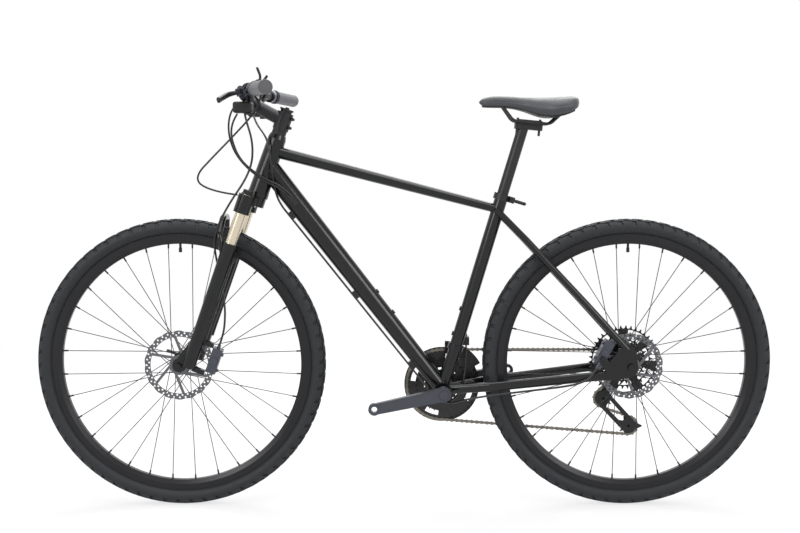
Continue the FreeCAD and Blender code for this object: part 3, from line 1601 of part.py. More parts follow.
def caliper(centre, along, bolt_side, fitting_out):
    """Two-sided brake caliper with a slot for the rotor; its fitting is at the end that along points to."""
    back = across.cross(along)
    width = caliper_half * 2
    body = block(centre, along, across, caliper_length, width, caliper_depth)
    slot = block(centre + back * (bolt_side * caliper_slot), along, across, caliper_length + overrun, caliper_slot,
                 caliper_depth + overrun)
    pieces = [body.cut(slot)]
    cap = rod(centre - across * (caliper_half + caliper_cap_height), centre - across * (caliper_half - caliper_slot),
              caliper_cap_r)
    pieces.append(cap)
    for s in (1, -1):
        at = centre + along * (s * caliper_bolt_span / 2) - back * (bolt_side * caliper_depth / 2)
        at = at - across * (caliper_half / 2)
        pieces.append(rod(at, at - back * (bolt_side * caliper_bolt_height), caliper_bolt_r))
    top = centre + along * (caliper_length / 2) - across * fitting_out
    pieces.append(rod(top - along * fitting_bury, top + along * fitting_length, fitting_r))
    return fuse(pieces)


def make_front_caliper(lowers):
    centre = steer_at(-front_caliper_drop, front_caliper_lead, front_rotor_y)
    return cut(caliper(centre, steer_up, -1, caliper_half / 2), [lowers, front_hose])


def make_rear_caliper():
    centre = V(rear_caliper_x, rear_rotor_y, rear_caliper_z)
    out = V(rear_caliper_x - rear_axle_x, 0, rear_caliper_z - tyre_radius).normalize()
    along = out.cross(across)
    return cut(caliper(centre, along, -1, caliper_half + rear_fitting_out), [left_dropout, rear_hose])


# stem and handlebar

bar_centre = steer_at(bar_rise, bar_lead)
stem_root = steer_at(stem_start, 0)
stem_dir = (bar_centre - stem_root).normalize()
stem_over = across.cross(stem_dir)
if stem_over.z < 0:
    stem_over = stem_over * -1


def bar_line():
    end = bar_centre + V(bar_end_back, bar_end_y, bar_end_rise)
    lift = bar_centre + V(0, bar_lift_y, bar_lift)
    bend = bar_centre + across * bar_bend_y
    half = [bend, lift, end]
    return [V(p.x, -p.y, p.z) for p in half[::-1]] + half


bar_points = bar_line()
bar_out = (bar_points[5] - bar_points[4]).normalize()


def on_bar(y):
    """Point on the right half of the bar at a given depth, past its bend."""
    f = (y - bar_points[4].y) / (bar_points[5].y - bar_points[4].y)
    return bar_points[4] + (bar_points[5] - bar_points[4]) * f


def left_of(p):
    return V(p.x, -p.y, p.z)


def bar_solid():
    centre = rod(bar_centre - across * bar_centre_half, bar_centre + across * bar_centre_half, bar_centre_r)
    pieces = [cord(bar_points, bar_bend, bar_r), centre]
    for s in (1, -1):
        pieces.append(cone(bar_centre + across * (s * bar_centre_half), bar_centre + across * (s * bar_taper_half),
                           bar_centre_r, bar_r + bar_taper_step))
    return fuse(pieces)


def make_handlebar():
    first = bar_points[0] + (bar_points[0] - bar_points[1]).normalize() * overrun
    long_points = [first] + bar_points[1:5] + [bar_points[5] + bar_out * overrun]
    return bar_solid().cut(cord(long_points, bar_bend, bar_r - bar_wall))


def make_stem():
    clamp = rod(steer_at(stem_clamp_low, 0), steer_at(stem_clamp_high, 0), stem_clamp_r)
    arm = oval_loft(stem_root, bar_centre, across, stem_over, (stem_wide, stem_tall), (stem_wide, stem_tall))
    half = across * (bar_clamp_width / 2)
    ring = rod(bar_centre - half, bar_centre + half, bar_clamp_r)
    pieces = [clamp, arm, ring]
    for s in pinch_at:
        at = steer_at(s, -pinch_back)
        pieces.append(rod(at - across * (pinch_width / 2), at + across * (pinch_width / 2), pinch_r))
    body = fuse(pieces)
    front = block(bar_centre + stem_dir * bar_clamp_width, stem_dir, across, bar_clamp_width * 2 + faceplate_gap,
                  bar_clamp_width * 2, bar_clamp_width * 2)
    bore = rod(steer_at(stem_clamp_low - bar_clamp_r, 0), steer_at(stem_clamp_high + overrun, 0), steerer_r)
    hole = rod(bar_centre - half * 2, bar_centre + half * 2, bar_centre_r)
    stem = cut(body, [front, bore, hole])
    face = ring.cut(block(bar_centre - stem_dir * bar_clamp_width, stem_dir, across,
                          bar_clamp_width * 2 + faceplate_gap, bar_clamp_width * 2, bar_clamp_width * 2))
    face_parts = [face]
    for sy in (1, -1):
        for sz in (1, -1):
            at = bar_centre + across * (sy * faceplate_bolt_span_y / 2) + stem_over * (sz * faceplate_bolt_span_z / 2)
            at = at + stem_dir * faceplate_gap
            face_parts.append(rod(at, at + stem_dir * (faceplate_bolt_length * 2), faceplate_bolt_r))
    return stem, fuse(face_parts).cut(hole)


def make_grips():
    pieces = []
    end = bar_points[5]
    start = end - bar_out * grip_length
    body = rod(start, end + bar_out * grip_cap, grip_r)
    collar = rod(start - bar_out * grip_collar_width, start, grip_collar_r)
    grip = fuse([body, collar]).cut(rod(start - bar_out * (grip_collar_width + overrun), end, bar_r))
    return group([grip, mirrored(grip)])


def bar_clamp(y, r, width):
    """Left clamp ring round the bar."""
    at = left_of(on_bar(y))
    d = left_of(bar_out)
    return rod(at - d * (width / 2), at + d * (width / 2), r), at, d


def brake_lever_axis():
    fwd = slope(180 + lever_tilt)
    return across.cross(fwd).normalize() * -1


def make_brake_side(bar):
    ring, at, d = bar_clamp(lever_clamp_y, lever_clamp_r, lever_clamp_width)
    c0 = V(*cylinder_start)
    c1 = V(*cylinder_end)
    pivot = V(*lever_pivot)
    axis = brake_lever_axis()
    barrel = rod(c0, c1, cylinder_r)
    tank_up = axis if axis.z > 0 else axis * -1
    tank = rod(c0 + tank_up * reservoir_lift, c1 + tank_up * reservoir_lift, reservoir_r)
    neck = rod(at, middle(c0, c1), cylinder_r * lever_neck_share)
    half = lever_pivot_height / 2 + running_gap
    ears = []
    for s in (1, -1):
        a = pivot + axis * (s * half)
        ears.append(rod(a, a + axis * (s * lever_ear), lever_pivot_r))
        way = (pivot - c1).normalize()
        flat = (way - axis * way.dot(axis)).normalize()
        mid = pivot - flat * ((pivot - c1).Length / 2) + axis * (s * (half + lever_ear / 2))
        ears.append(block(mid, flat, axis.cross(flat), (pivot - c1).Length, lever_pivot_r * lever_ear_share, lever_ear))
    pin = rod(pivot - axis * half, pivot + axis * half, lever_pin_r)
    gap = rod(pivot - axis * half, pivot + axis * half, lever_pivot_r + running_gap * 3)
    lever_path = cord(lever_points, lever_bend, lever_r + running_gap * 3)
    solid = fuse([barrel, tank, neck, ring]).cut(gap).cut(lever_path)
    solid = largest(solid)
    body = fuse([solid] + ears + [pin]).cut(bar)
    eye = rod(pivot - axis * (lever_pivot_height / 2), pivot + axis * (lever_pivot_height / 2), lever_pivot_r)
    blade = cord(lever_points, lever_bend, lever_r)
    tip = Part.makeSphere(lever_tip_r, V(*lever_points[-1]))
    lever = fuse([eye, blade, tip]).cut(rod(pivot - axis * lever_pivot_height, pivot + axis * lever_pivot_height,
                                            lever_pin_r + running_gap))
    return body, lever


def make_controls(bar, brake):
    """Shifter pods on both sides and the lockout body on the left."""
    ring, at, d = bar_clamp(pod_y, pod_clamp_r, pod_clamp_width)
    centre = V(*pod_centre)
    fwd = V(1, 0, 0)
    pod = block(centre, fwd, across, pod_depth, pod_length, pod_height)
    pod = pod.makeFillet(pod_round, pod.Edges)
    neck = rod(at, V(at.x, at.y, centre.z), pod_clamp_width * pod_neck_share)
    hinge = V(*trigger_pivot)
    half = upright * (trigger_thickness / 2)
    pin = rod(hinge - half, V(hinge.x, hinge.y, centre.z), trigger_pin_r)
    left = largest(cut(fuse([ring, pod, neck, pin]), [bar, brake]))
    right = mirrored(left)
    pad = V(*trigger_tip)
    trigger = fuse([rod(hinge - half, hinge + half, trigger_eye_r), rod(hinge, pad, trigger_r),
                    rod(pad - half, pad + half, trigger_pad_r)])
    trigger = trigger.cut(rod(hinge - half * 3, hinge + half * 3, trigger_pin_r + running_gap))
    clamp, at, d = bar_clamp(remote_y, remote_clamp_r, remote_clamp_width)
    post = V(*remote_post)
    drum = rod(post - across * (remote_width / 2), post + across * (remote_width / 2), remote_r)
    stalk = rod(at, post, remote_stalk_r)
    pin = rod(post - across * (remote_width / 2 + lockout_eye_width + running_gap * 2), post, remote_pin_r)
    button = cord(release_points, lockout_bend, release_r)
    remote = fuse([clamp, drum, stalk, pin, button]).cut(bar)
    y1 = -remote_width / 2 - running_gap
    eye_centre = post + across * (y1 - lockout_eye_width / 2)
    eye = rod(eye_centre - across * (lockout_eye_width / 2), eye_centre + across * (lockout_eye_width / 2), lockout_eye_r)
    handle = fuse([cord(lockout_points, lockout_bend, lockout_r), Part.makeSphere(lockout_r, V(*lockout_points[-1]))])
    hole = rod(eye_centre - across * remote_width, eye_centre + across * remote_width, remote_pin_r + running_gap)
    return [left, right, remote], fuse([eye, handle]).cut(hole), trigger


def make_spacers():
    low = steer_at(cup_top_height + running_gap, 0)
    ring = rod(low, steer_at(spacer_top, 0), spacer_r)
    ring = ring.cut(rod(low - steer_up * overrun, steer_at(spacer_top + overrun, 0), steerer_r))
    top = steer_at(steerer_top, 0)
    cap = rod(top, top + steer_up * cap_height, cap_r)
    bolt = rod(top + steer_up * cap_height, top + steer_up * (cap_height + cap_bolt_height), cap_bolt_r)
    return group([ring, fuse([cap, bolt])])


def build():
    nodes = {}
    nodes.update(wheel_nodes("front", front_centre, -front_old / 2 + hub_end_gap, front_flange_left, front_flange_right,
                             front_old / 2 - hub_end_gap, front_rotor_radius, front_rotor_y))
    nodes.update(wheel_nodes("rear", rear_centre, -rear_old / 2 + hub_end_gap, rear_flange_left, rear_flange_right,
                             rear_shell_end, rear_rotor_radius, rear_rotor_y))
    nodes["front_axle"] = make_axle(steer_at(-axle_drop, axle_lead), lug_outer_y, head_angle + 90)
    nodes["rear_axle"] = make_axle(rear_centre, rear_old / 2 + dropout_thickness, rear_lever_angle)
    nodes["head_tube"] = make_head_tube()
    nodes["down_tube"] = make_down_tube()
    nodes["top_tube"] = make_top_tube()
    nodes["seat_tube"] = make_seat_tube()
    nodes["bottom_bracket_shell"] = make_shell()
    nodes.update(make_stays())
    nodes["dropouts"] = group([left_dropout, right_dropout])
    nodes["frame_bosses"] = make_bosses()
    nodes["seat_clamp"], nodes["seat_clamp_lever"] = make_seat_clamp()
    nodes["seatpost"] = group([make_seatpost(), make_saddle_clamp()])
    cover = make_saddle_cover()
    base = make_saddle_base(cover)
    nodes["saddle_cover"] = cover
    nodes["saddle_base"] = base
    nodes["saddle_rails"] = group([largest(cut(rail, [base, cover])) for rail in rails()])
    nodes["left_crank_arm"] = crank_arm(-1, left_boss_inner, left_boss_outer)
    nodes["right_crank_arm"] = make_right_arm()
    nodes["chainrings"] = make_chainrings()
    nodes["chain_guard"] = make_guard()
    nodes["chain"] = make_chain()
    nodes["cassette"] = make_cassette()
    nodes["upper_pulley"] = make_pulley(upper_pulley_centre, phase_on(4))
    nodes["lower_pulley"] = make_pulley(lower_pulley_centre, phase_on(2))
    nodes["derailleur_cage"] = make_cage()
    nodes["rear_derailleur"] = group([make_rear_derailleur(), gear_cord])
    nodes["front_derailleur"], nodes["front_derailleur_cage"] = make_front_derailleur()
    nodes["fork_crown"] = make_crown()
    nodes["fork_stanchions"] = make_stanchions()
    lowers = make_lowers()
    nodes["fork_lowers"] = lowers
    nodes["front_caliper"] = make_front_caliper(lowers)
    nodes["rear_caliper"] = make_rear_caliper()
    nodes["headset_spacers"] = make_spacers()
    nodes["stem"], nodes["stem_faceplate"] = make_stem()
    bar = bar_solid()
    nodes["handlebar"] = make_handlebar()
    nodes["grips"] = make_grips()
    body, lever = make_brake_side(bar)
    nodes["brake_lever_bodies"] = group([body, mirrored(body)])
    nodes["left_brake_lever"] = lever
    nodes["right_brake_lever"] = mirrored(lever)
    controls, nodes["lockout_lever"], trigger = make_controls(bar, body)
    nodes["left_shift_trigger"] = trigger
    nodes["right_shift_trigger"] = mirrored(trigger)
    nodes["bar_controls"] = group(controls)
    nodes["steering_cables"] = group(loops)
    nodes["frame_cables"] = group([rear_hose, shift_cord])
    nodes["lockout_cable"] = lockout_cord
    nodes["front_brake_hose"] = front_hose
    return nodes


for name, shape in build().items():
    box = shape.BoundBox
    state = "ok" if shape.isValid() else "INVALID"
    print(name, len(shape.Solids), round(shape.Volume / 1000, 2), state, [round(v, 1) for v in (
        box.XMin, box.XMax, box.YMin, box.YMax, box.ZMin, box.ZMax)])
    shape.exportStep("parts/" + name + ".step")
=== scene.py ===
"""Looks of a hybrid bike: rubber, paint, metal and cables laid over its fixed frame of parts.

All lengths in the classes are millimetres; meshes are made in metres. The bike faces -X, +Y is its
right side and the ground is Z = 0.
"""

import logging
import math
from dataclasses import dataclass
from enum import Enum

import bmesh
import bpy
import numpy as np
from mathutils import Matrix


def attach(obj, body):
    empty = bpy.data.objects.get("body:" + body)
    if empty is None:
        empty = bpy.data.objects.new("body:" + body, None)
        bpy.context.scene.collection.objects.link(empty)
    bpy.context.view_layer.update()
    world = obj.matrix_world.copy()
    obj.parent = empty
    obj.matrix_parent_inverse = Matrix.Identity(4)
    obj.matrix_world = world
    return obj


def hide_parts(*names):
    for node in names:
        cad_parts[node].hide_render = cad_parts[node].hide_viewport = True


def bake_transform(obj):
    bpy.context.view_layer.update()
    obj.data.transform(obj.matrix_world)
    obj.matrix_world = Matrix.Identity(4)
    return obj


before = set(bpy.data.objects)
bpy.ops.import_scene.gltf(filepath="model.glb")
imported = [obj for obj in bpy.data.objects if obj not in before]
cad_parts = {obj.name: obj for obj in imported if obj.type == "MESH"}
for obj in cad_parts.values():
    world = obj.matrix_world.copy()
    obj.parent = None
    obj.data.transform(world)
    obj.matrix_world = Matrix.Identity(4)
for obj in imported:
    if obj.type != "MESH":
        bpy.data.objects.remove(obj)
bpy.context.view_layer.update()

LOG = logging.getLogger("hybrid_bike")
Point = tuple[float, float, float]
Pair = tuple[float, float]
Pairs = tuple[Pair, ...]

MM = 0.001
WHITE = (1.0, 1.0, 1.0, 1.0)
# Points nearer than this, in metres, are welded into one.
WELD = 1e-6
# Points on half a circle of an outline.
HALF_RING = 25
# An axis with more than this share of Z counts as upright.
UPRIGHT = 0.9
# Detail of the noises for patches, turned rings and stipple.
PATCH_DETAIL, RING_DETAIL, STIPPLE_DETAIL = 5.0, 2.0, 3.0
# Values of the patches' noise at which the roughness reaches its two ends.
PATCH_ENDS = (0.3, 0.7)
# How unevenly the pebbles lie, the scale that draws stipple out into lines, and a wheel's plane.
PEBBLE_SPREAD = 0.9
DRAWN_SCALE = (0.05, 0.05, 1.0)
WHEEL_PLANE = (1.0, 0.0, 1.0)
# The Mix node's numbers for the two colours that go in and the colour that comes out.
MIX_FIRST, MIX_SECOND, MIX_COLOUR = 6, 7, 2


def linear(code: str) -> tuple[float, float, float, float]:
    """Turns an sRGB hex value into a linear colour, by the curve of the sRGB standard.

    Args:
        code: The colour as "#rrggbb".

    Returns:
        Red, green and blue in linear light, and an alpha of 1.
    """
    shares = [int(code[i:i + 2], 16) / 255 for i in (1, 3, 5)]
    red, green, blue = (
        s / 12.92 if s <= 0.04045 else ((s + 0.055) / 1.055) ** 2.4 for s in shares)
    return red, green, blue, 1.0


def per(size: float) -> float:
    """Gives the texture scale for features size millimetres across, on coordinates in metres."""
    return 1 / (size * MM)


def add(tree: bpy.types.NodeTree, kind: str, sockets: dict | None = None,
        **settings: object) -> bpy.types.Node:
    """Adds a shader node with its settings and links.

    Args:
        tree: The material's node tree.
        kind: The node's type name.
        sockets: Input name or number, and the value to set there or the output to link from.
        **settings: Properties of the node.

    Returns:
        The new node.
    """
    made = tree.nodes.new(kind)
    for name, value in settings.items():
        setattr(made, name, value)
    for name, value in (sockets or {}).items():
        if isinstance(value, bpy.types.NodeSocket):
            tree.links.new(value, made.inputs[name])
        else:
            made.inputs[name].default_value = value
    return made


class Grain(Enum):
    """How the fine relief of a finish was made."""

    STIPPLE = "blasted, sprayed or moulded: small even bumps"
    PEBBLE = "embossed: rounded cells with creases between them"
    TURNED = "ground while turning: fine rings about the wheel's axle"
    DRAWN = "drawn or polished along: fine lines round the tube"


@dataclass(frozen=True)
class Finish:
    """One surface finish; all sizes are millimetres.

    Colour drifts between shade and tint over patches of patch_size, roughness drifts between the
    two values of rough over the same patches, and the relief is depth high with features of
    grain_size. Turned rings run about centre.
    """

    name: str
    slot: str
    shade: str
    tint: str
    rough: Pair
    patch_size: float = 30.0
    metallic: float = 0.0
    grain: Grain = Grain.STIPPLE
    grain_size: float = 0.8
    depth: float = 0.02
    coat: float = 0.0
    coat_rough: float = 0.1
    sheen: float = 0.0
    specular: float = 0.5
    centre: Point = (0.0, 0.0, 0.0)

    def material(self) -> bpy.types.Material:
        """Returns this finish as a material, made at its first use."""
        return bpy.data.materials.get(self.name) or self.make()

    def make(self) -> bpy.types.Material:
        """Makes the material: colour and roughness from one noise, relief from another texture.

        Returns:
            The new material.
        """
        made = bpy.data.materials.new(self.name)
        made.use_nodes = True
        tree = made.node_tree
        tree.nodes.clear()
        spot = add(tree, "ShaderNodeMapping", {
            "Vector": add(tree, "ShaderNodeTexCoord").outputs["Object"],
            "Location": [-c * MM for c in self.centre]}).outputs[0]
        patch = add(tree, "ShaderNodeTexNoise", {
            "Vector": spot, "Scale": per(self.patch_size), "Detail": PATCH_DETAIL}).outputs[0]
        colour = add(tree, "ShaderNodeMix", {
            0: patch, MIX_FIRST: linear(self.shade), MIX_SECOND: linear(self.tint)},
            data_type="RGBA")
        rough = add(tree, "ShaderNodeMapRange", {
            "Value": patch, "From Min": PATCH_ENDS[0], "From Max": PATCH_ENDS[1],
            "To Min": self.rough[0], "To Max": self.rough[1]})
        bump = add(tree, "ShaderNodeBump", {
            "Height": self.relief(tree, spot), "Strength": 1.0, "Distance": self.depth * MM})
        shader = add(tree, "ShaderNodeBsdfPrincipled", {
            "Base Color": colour.outputs[MIX_COLOUR], "Roughness": rough.outputs[0],
            "Metallic": self.metallic, "Normal": bump.outputs[0],
            "Coat Weight": self.coat, "Coat Roughness": self.coat_rough,
            "Sheen Weight": self.sheen, "Specular IOR Level": self.specular})
        add(tree, "ShaderNodeOutputMaterial", {"Surface": shader.outputs[0]})
        return made

    def relief(self, tree: bpy.types.NodeTree,
               spot: bpy.types.NodeSocket) -> bpy.types.NodeSocket:
        """Adds the fine relief's texture.

        Args:
            tree: The material's node tree.
            spot: The coordinates to draw it on.

        Returns:
            The relief's height, from 0 to 1.
        """
        scale = per(self.grain_size)
        if self.grain is Grain.PEBBLE:
            cells = add(tree, "ShaderNodeTexVoronoi", {
                "Vector": spot, "Scale": scale, "Randomness": PEBBLE_SPREAD}, feature="SMOOTH_F1")
            return cells.outputs["Distance"]
        if self.grain is Grain.TURNED:
            flat = add(tree, "ShaderNodeVectorMath", {0: spot, 1: WHEEL_PLANE},
                       operation="MULTIPLY")
            radius = add(tree, "ShaderNodeVectorMath", {0: flat.outputs[0]}, operation="LENGTH")
            rings = add(tree, "ShaderNodeTexNoise", {
                "W": radius.outputs["Value"], "Scale": scale, "Detail": RING_DETAIL},
                noise_dimensions="1D")
            return rings.outputs[0]
        if self.grain is Grain.DRAWN:
            spot = add(tree, "ShaderNodeMapping", {
                "Vector": spot, "Scale": DRAWN_SCALE}).outputs[0]
        stipple = add(tree, "ShaderNodeTexNoise", {
            "Vector": spot, "Scale": scale, "Detail": STIPPLE_DETAIL})
        return stipple.outputs[0]


# Powder-coated aluminium, sprayed and baked: near black and glossy, with faint orange peel.
FRAME_PAINT = Finish(
    "powder_coat_black", "frame_paint", "#0a0b0c", "#101113", (0.15, 0.21),
    patch_size=90.0, grain_size=2.4, depth=0.008, coat=0.25, coat_rough=0.05, specular=0.26)
# Black anodised aluminium, bead-blasted first: dull dark metal with a fine even grain, drawn
# coarser than the real one to show.
FITTING_BLACK = Finish(
    "anodised_black_aluminium", "fitting_black", "#1a1a1c", "#222225", (0.34, 0.46),
    metallic=0.35, grain_size=0.9, depth=0.02)
# Dark anodised aluminium, polished before dyeing: a little lighter and glossier.
DARK_ALLOY = Finish(
    "anodised_dark_aluminium", "dark_alloy", "#1d1d1f", "#28282b", (0.26, 0.36),
    metallic=0.6, grain_size=0.9, depth=0.015)
# Forged aluminium cranks, anodised and sealed: dark grey with a blue cast, satin.
CRANK_GREY = Finish(
    "forged_grey_aluminium", "fitting_black", "#3b3e44", "#474a51", (0.32, 0.42),
    metallic=0.45, grain_size=0.9, depth=0.02)
# Painted cast aluminium of the brake bodies: blue-grey with metal flake.
CALIPER_GREY = Finish(
    "cast_aluminium_blue_grey", "caliper_grey", "#3e4049", "#4d4f59", (0.3, 0.42),
    metallic=0.55, grain_size=1.1, depth=0.03)
# Black chainrings and sprockets: stamped steel, blackened, with a little oil.
RING_BLACK = Finish(
    "blackened_stamped_steel", "ring_black", "#2b2b2c", "#3d3c3b", (0.26, 0.44),
    patch_size=14.0, metallic=0.75, grain_size=0.7, depth=0.015)
# Chain: nickelled steel plates under an oil film, grey going to tan.
CHAIN_STEEL = Finish(
    "oiled_nickel_steel", "chain_steel", "#66625c", "#857f76", (0.24, 0.4),
    patch_size=9.0, metallic=0.9, grain_size=0.6, depth=0.01)
# Spokes: drawn stainless wire, darkened.
SPOKE_STEEL = Finish(
    "drawn_dark_stainless", "spoke_steel", "#121213", "#1b1b1d", (0.3, 0.4),
    patch_size=40.0, metallic=0.4, grain_size=0.5, depth=0.006)
# Fork tubes: anodised aluminium, ground and polished, the colour of pale champagne.
STANCHION_GOLD = Finish(
    "anodised_champagne_aluminium", "stanchion_gold", "#cfc4ae", "#d9cfbb", (0.16, 0.24),
    patch_size=60.0, metallic=0.85, grain=Grain.DRAWN, grain_size=0.5, depth=0.006)
# Saddle rails: steel wire with a black baked coat.
RAIL_STEEL = Finish(
    "black_coated_steel_wire", "rail_steel", "#171718", "#1e1e1f", (0.3, 0.4),
    metallic=0.3, grain_size=0.7, depth=0.012)
# Controls, pulleys, guard, fork caps and saddle shell: glass-filled nylon from a spark-eroded
# mould, matte with a fine texture.
NYLON_BLACK = Finish(
    "moulded_black_nylon", "plastic_black", "#101011", "#171718", (0.42, 0.55),
    grain_size=0.8, depth=0.03, specular=0.35)
# Cable jackets: extruded smooth black plastic over steel, slightly glossy.
CABLE_BLACK = Finish(
    "extruded_cable_jacket", "cable_black", "#0e0e0f", "#151516", (0.24, 0.34),
    grain_size=1.5, depth=0.01)
# Tyre: vulcanised rubber out of a mould, dull, with faintly dusty patches.
TYRE_RUBBER = Finish(
    "vulcanised_rubber", "tyre_rubber", "#1e2022", "#2a2c2f", (0.5, 0.64),
    patch_size=26.0, grain_size=1.1, depth=0.05, specular=0.3)
# Grips: grey thermoplastic rubber, moulded, dull and evenly pebbled.
GRIP_RUBBER = Finish(
    "moulded_grey_grip_rubber", "grip_rubber", "#4d4d50", "#59595c", (0.6, 0.74),
    grain=Grain.PEBBLE, grain_size=2.0, depth=0.08, sheen=0.15)
# Saddle cover: coated synthetic leather, vacuum-formed over foam, with a fine pebbled grain and
# a soft sheen.
SADDLE_SKIN = Finish(
    "synthetic_leather", "saddle_skin", "#2d2e32", "#37393d", (0.42, 0.54),
    grain=Grain.PEBBLE, grain_size=1.6, depth=0.05, sheen=0.25)


def rotor_finish(side: str, centre: Point) -> Finish:
    """Gives ground stainless steel with rings about one axle, drawn coarser than ground to show.

    Args:
        side: "front" or "rear".
        centre: The axle's middle.

    Returns:
        The finish of that rotor.
    """
    return Finish(
        f"ground_stainless_{side}", "rotor_steel", "#58595c", "#707174", (0.24, 0.36),
        metallic=0.95, grain=Grain.TURNED, grain_size=0.7, depth=0.012, centre=centre)


def rim_finish(side: str, centre: Point) -> Finish:
    """Gives black anodised, turned aluminium with rings about one wheel's axle.

    Args:
        side: "front" or "rear".
        centre: The axle's middle.

    Returns:
        The finish of that rim.
    """
    return Finish(
        f"turned_black_aluminium_{side}", "dark_alloy", "#18181a", "#222225", (0.28, 0.36),
        patch_size=120.0, metallic=0.5, grain=Grain.TURNED, grain_size=0.8, depth=0.01,
        centre=centre)


def dress(finish: Finish, *nodes: str) -> None:
    """Gives CAD nodes a finish and reports them.

    Args:
        finish: The finish.
        *nodes: The nodes' names.
    """
    for name in nodes:
        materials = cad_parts[name].data.materials
        materials.clear()
        materials.append(finish.material())
        LOG.info("%s: %s", name, finish.name)


def shown(name: str, mesh: bpy.types.Mesh, sharp: float) -> bpy.types.Object:
    """Shades a mesh smooth apart from its crisp edges, and puts it in the scene.

    Args:
        name: The piece's name.
        mesh: Its mesh, in metres.
        sharp: Edges that turn by more than this many degrees stay crisp.

    Returns:
        The piece, at the origin.
    """
    mesh.shade_smooth()
    mesh.set_sharp_from_angle(angle=math.radians(sharp))
    made = bpy.data.objects.new(name, mesh)
    bpy.context.scene.collection.objects.link(made)
    return made


def welded(name: str, points: np.ndarray, sharp: float = 40.0) -> bpy.types.Object:
    """Makes a quad mesh of a grid of points, welded where lines meet and turned outwards.

    Args:
        name: The piece's name.
        points: Rows x columns x 3, in millimetres; a closed direction ends with its first line.
        sharp: Edges that turn by more than this many degrees stay crisp.

    Returns:
        The piece, at the origin.
    """
    rows, columns = points.shape[:2]
    number = np.arange(rows * columns).reshape(rows, columns)
    corners = [number[:-1, :-1], number[1:, :-1], number[1:, 1:], number[:-1, 1:]]
    quads = np.stack(corners, -1).reshape(-1, 4)
    mesh = bpy.data.meshes.new(name)
    mesh.from_pydata((points.reshape(-1, 3) * MM).tolist(), [], quads.tolist())
    shell = bmesh.new()
    shell.from_mesh(mesh)
    bmesh.ops.remove_doubles(shell, verts=shell.verts, dist=WELD)
    bmesh.ops.recalc_face_normals(shell, faces=shell.faces)
    shell.to_mesh(mesh)
    shell.free()
    return shown(name, mesh, sharp)


def place(piece: bpy.types.Object, body: str, finish: Finish,
          *stands_for: str) -> bpy.types.Object:
    """Finishes a piece, lets it ride on a body and reports it.

    Args:
        piece: The new piece.
        body: The CAD body that carries it.
        finish: Its finish.
        *stands_for: CAD nodes that it replaces.

    Returns:
        The same piece.
    """
    piece.data.materials.append(finish.material())
    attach(piece, body)
    if stands_for:
        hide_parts(*stands_for)
    LOG.info("%s rides on %s", piece.name, body)
    return piece


def run_along(line: np.ndarray) -> np.ndarray:
    """Adds up the distance along a line of points, from 0 at its first point."""
    return np.concatenate([[0.0], np.cumsum(np.linalg.norm(np.diff(line, axis=0), axis=1))])


def hermite(at: np.ndarray, knots: np.ndarray, values: np.ndarray) -> np.ndarray:
    """Smooth curve through values at knots.

    Each span is a cubic, with slopes at its ends from the neighbouring knots.

    Args:
        at: Where to read the curve.
        knots: Rising places of the values.
        values: One value, or one row of values, for each knot.

    Returns:
        The curve's values at those places.
    """
    slopes = np.gradient(values, knots, axis=0)
    k = np.clip(np.searchsorted(knots, at) - 1, 0, len(knots) - 2)
    span = knots[k + 1] - knots[k]
    t = (at - knots[k]) / span
    if values.ndim > 1:
        t, span = t[:, None], span[:, None]
    return ((1 + 2 * t) * (1 - t) ** 2 * values[k] + t * (1 - t) ** 2 * span * slopes[k]
            + t ** 2 * (3 - 2 * t) * values[k + 1] + t ** 2 * (t - 1) * span * slopes[k + 1])


def arc(first: Pair, through: Pair, last: Pair, count: int) -> np.ndarray:
    """Points on the circle through three points: equal steps of angle about its centre.

    Args:
        first: Where the arc starts.
        through: A point on it.
        last: Where it ends.
        count: How many points.

    Returns:
        The points, count x 2.
    """
    a, b, c = (np.array(p) for p in (first, through, last))
    squares = np.array([b @ b - a @ a, c @ c - a @ a])
    centre = np.linalg.solve(2 * np.array([b - a, c - a]), squares)
    angles = np.unwrap([math.atan2(*(p - centre)[::-1]) for p in (a, b, c)])
    turn = np.linspace(angles[0], angles[2], count)
    return centre + np.linalg.norm(a - centre) * np.stack([np.cos(turn), np.sin(turn)], -1)


def capsule(first: np.ndarray, first_radius: float, last: np.ndarray,
            last_radius: float) -> np.ndarray:
    """Outline in the XZ plane round two circles: half of each, joined by straight sides.

    Args:
        first: Middle of the first circle; its depth is kept.
        first_radius: Its radius.
        last: Middle of the second circle.
        last_radius: Its radius.

    Returns:
        Closed outline, points x 3, from the second circle round to its first point again.
    """
    heading = math.atan2(last[2] - first[2], last[0] - first[0])
    half = np.linspace(-math.pi / 2, math.pi / 2, HALF_RING)
    turn = np.concatenate([half, half + math.pi]) + heading
    reach = np.repeat([last_radius, first_radius], HALF_RING)
    spread = np.stack([np.cos(turn), 0 * turn, np.sin(turn)], -1)
    ring = np.repeat([last, first], HALF_RING, axis=0) + reach[:, None] * spread
    return np.concatenate([ring, ring[:1]])


def holed_plate(name: str, outer: np.ndarray, inner: np.ndarray, low: float,
                high: float) -> bpy.types.Object:
    """Makes a flat plate with one hole: the outline and the hole joined point by point.

    Args:
        name: The piece's name.
        outer: The outline, points x 3.
        inner: The hole, with as many points.
        low: The lesser Y, in millimetres.
        high: The greater Y.

    Returns:
        The plate.
    """
    loops = np.stack([outer, outer, inner, inner, outer])
    loops[..., 1] = np.array([low, high, high, low, low])[:, None]
    return welded(name, loops, sharp=30.0)


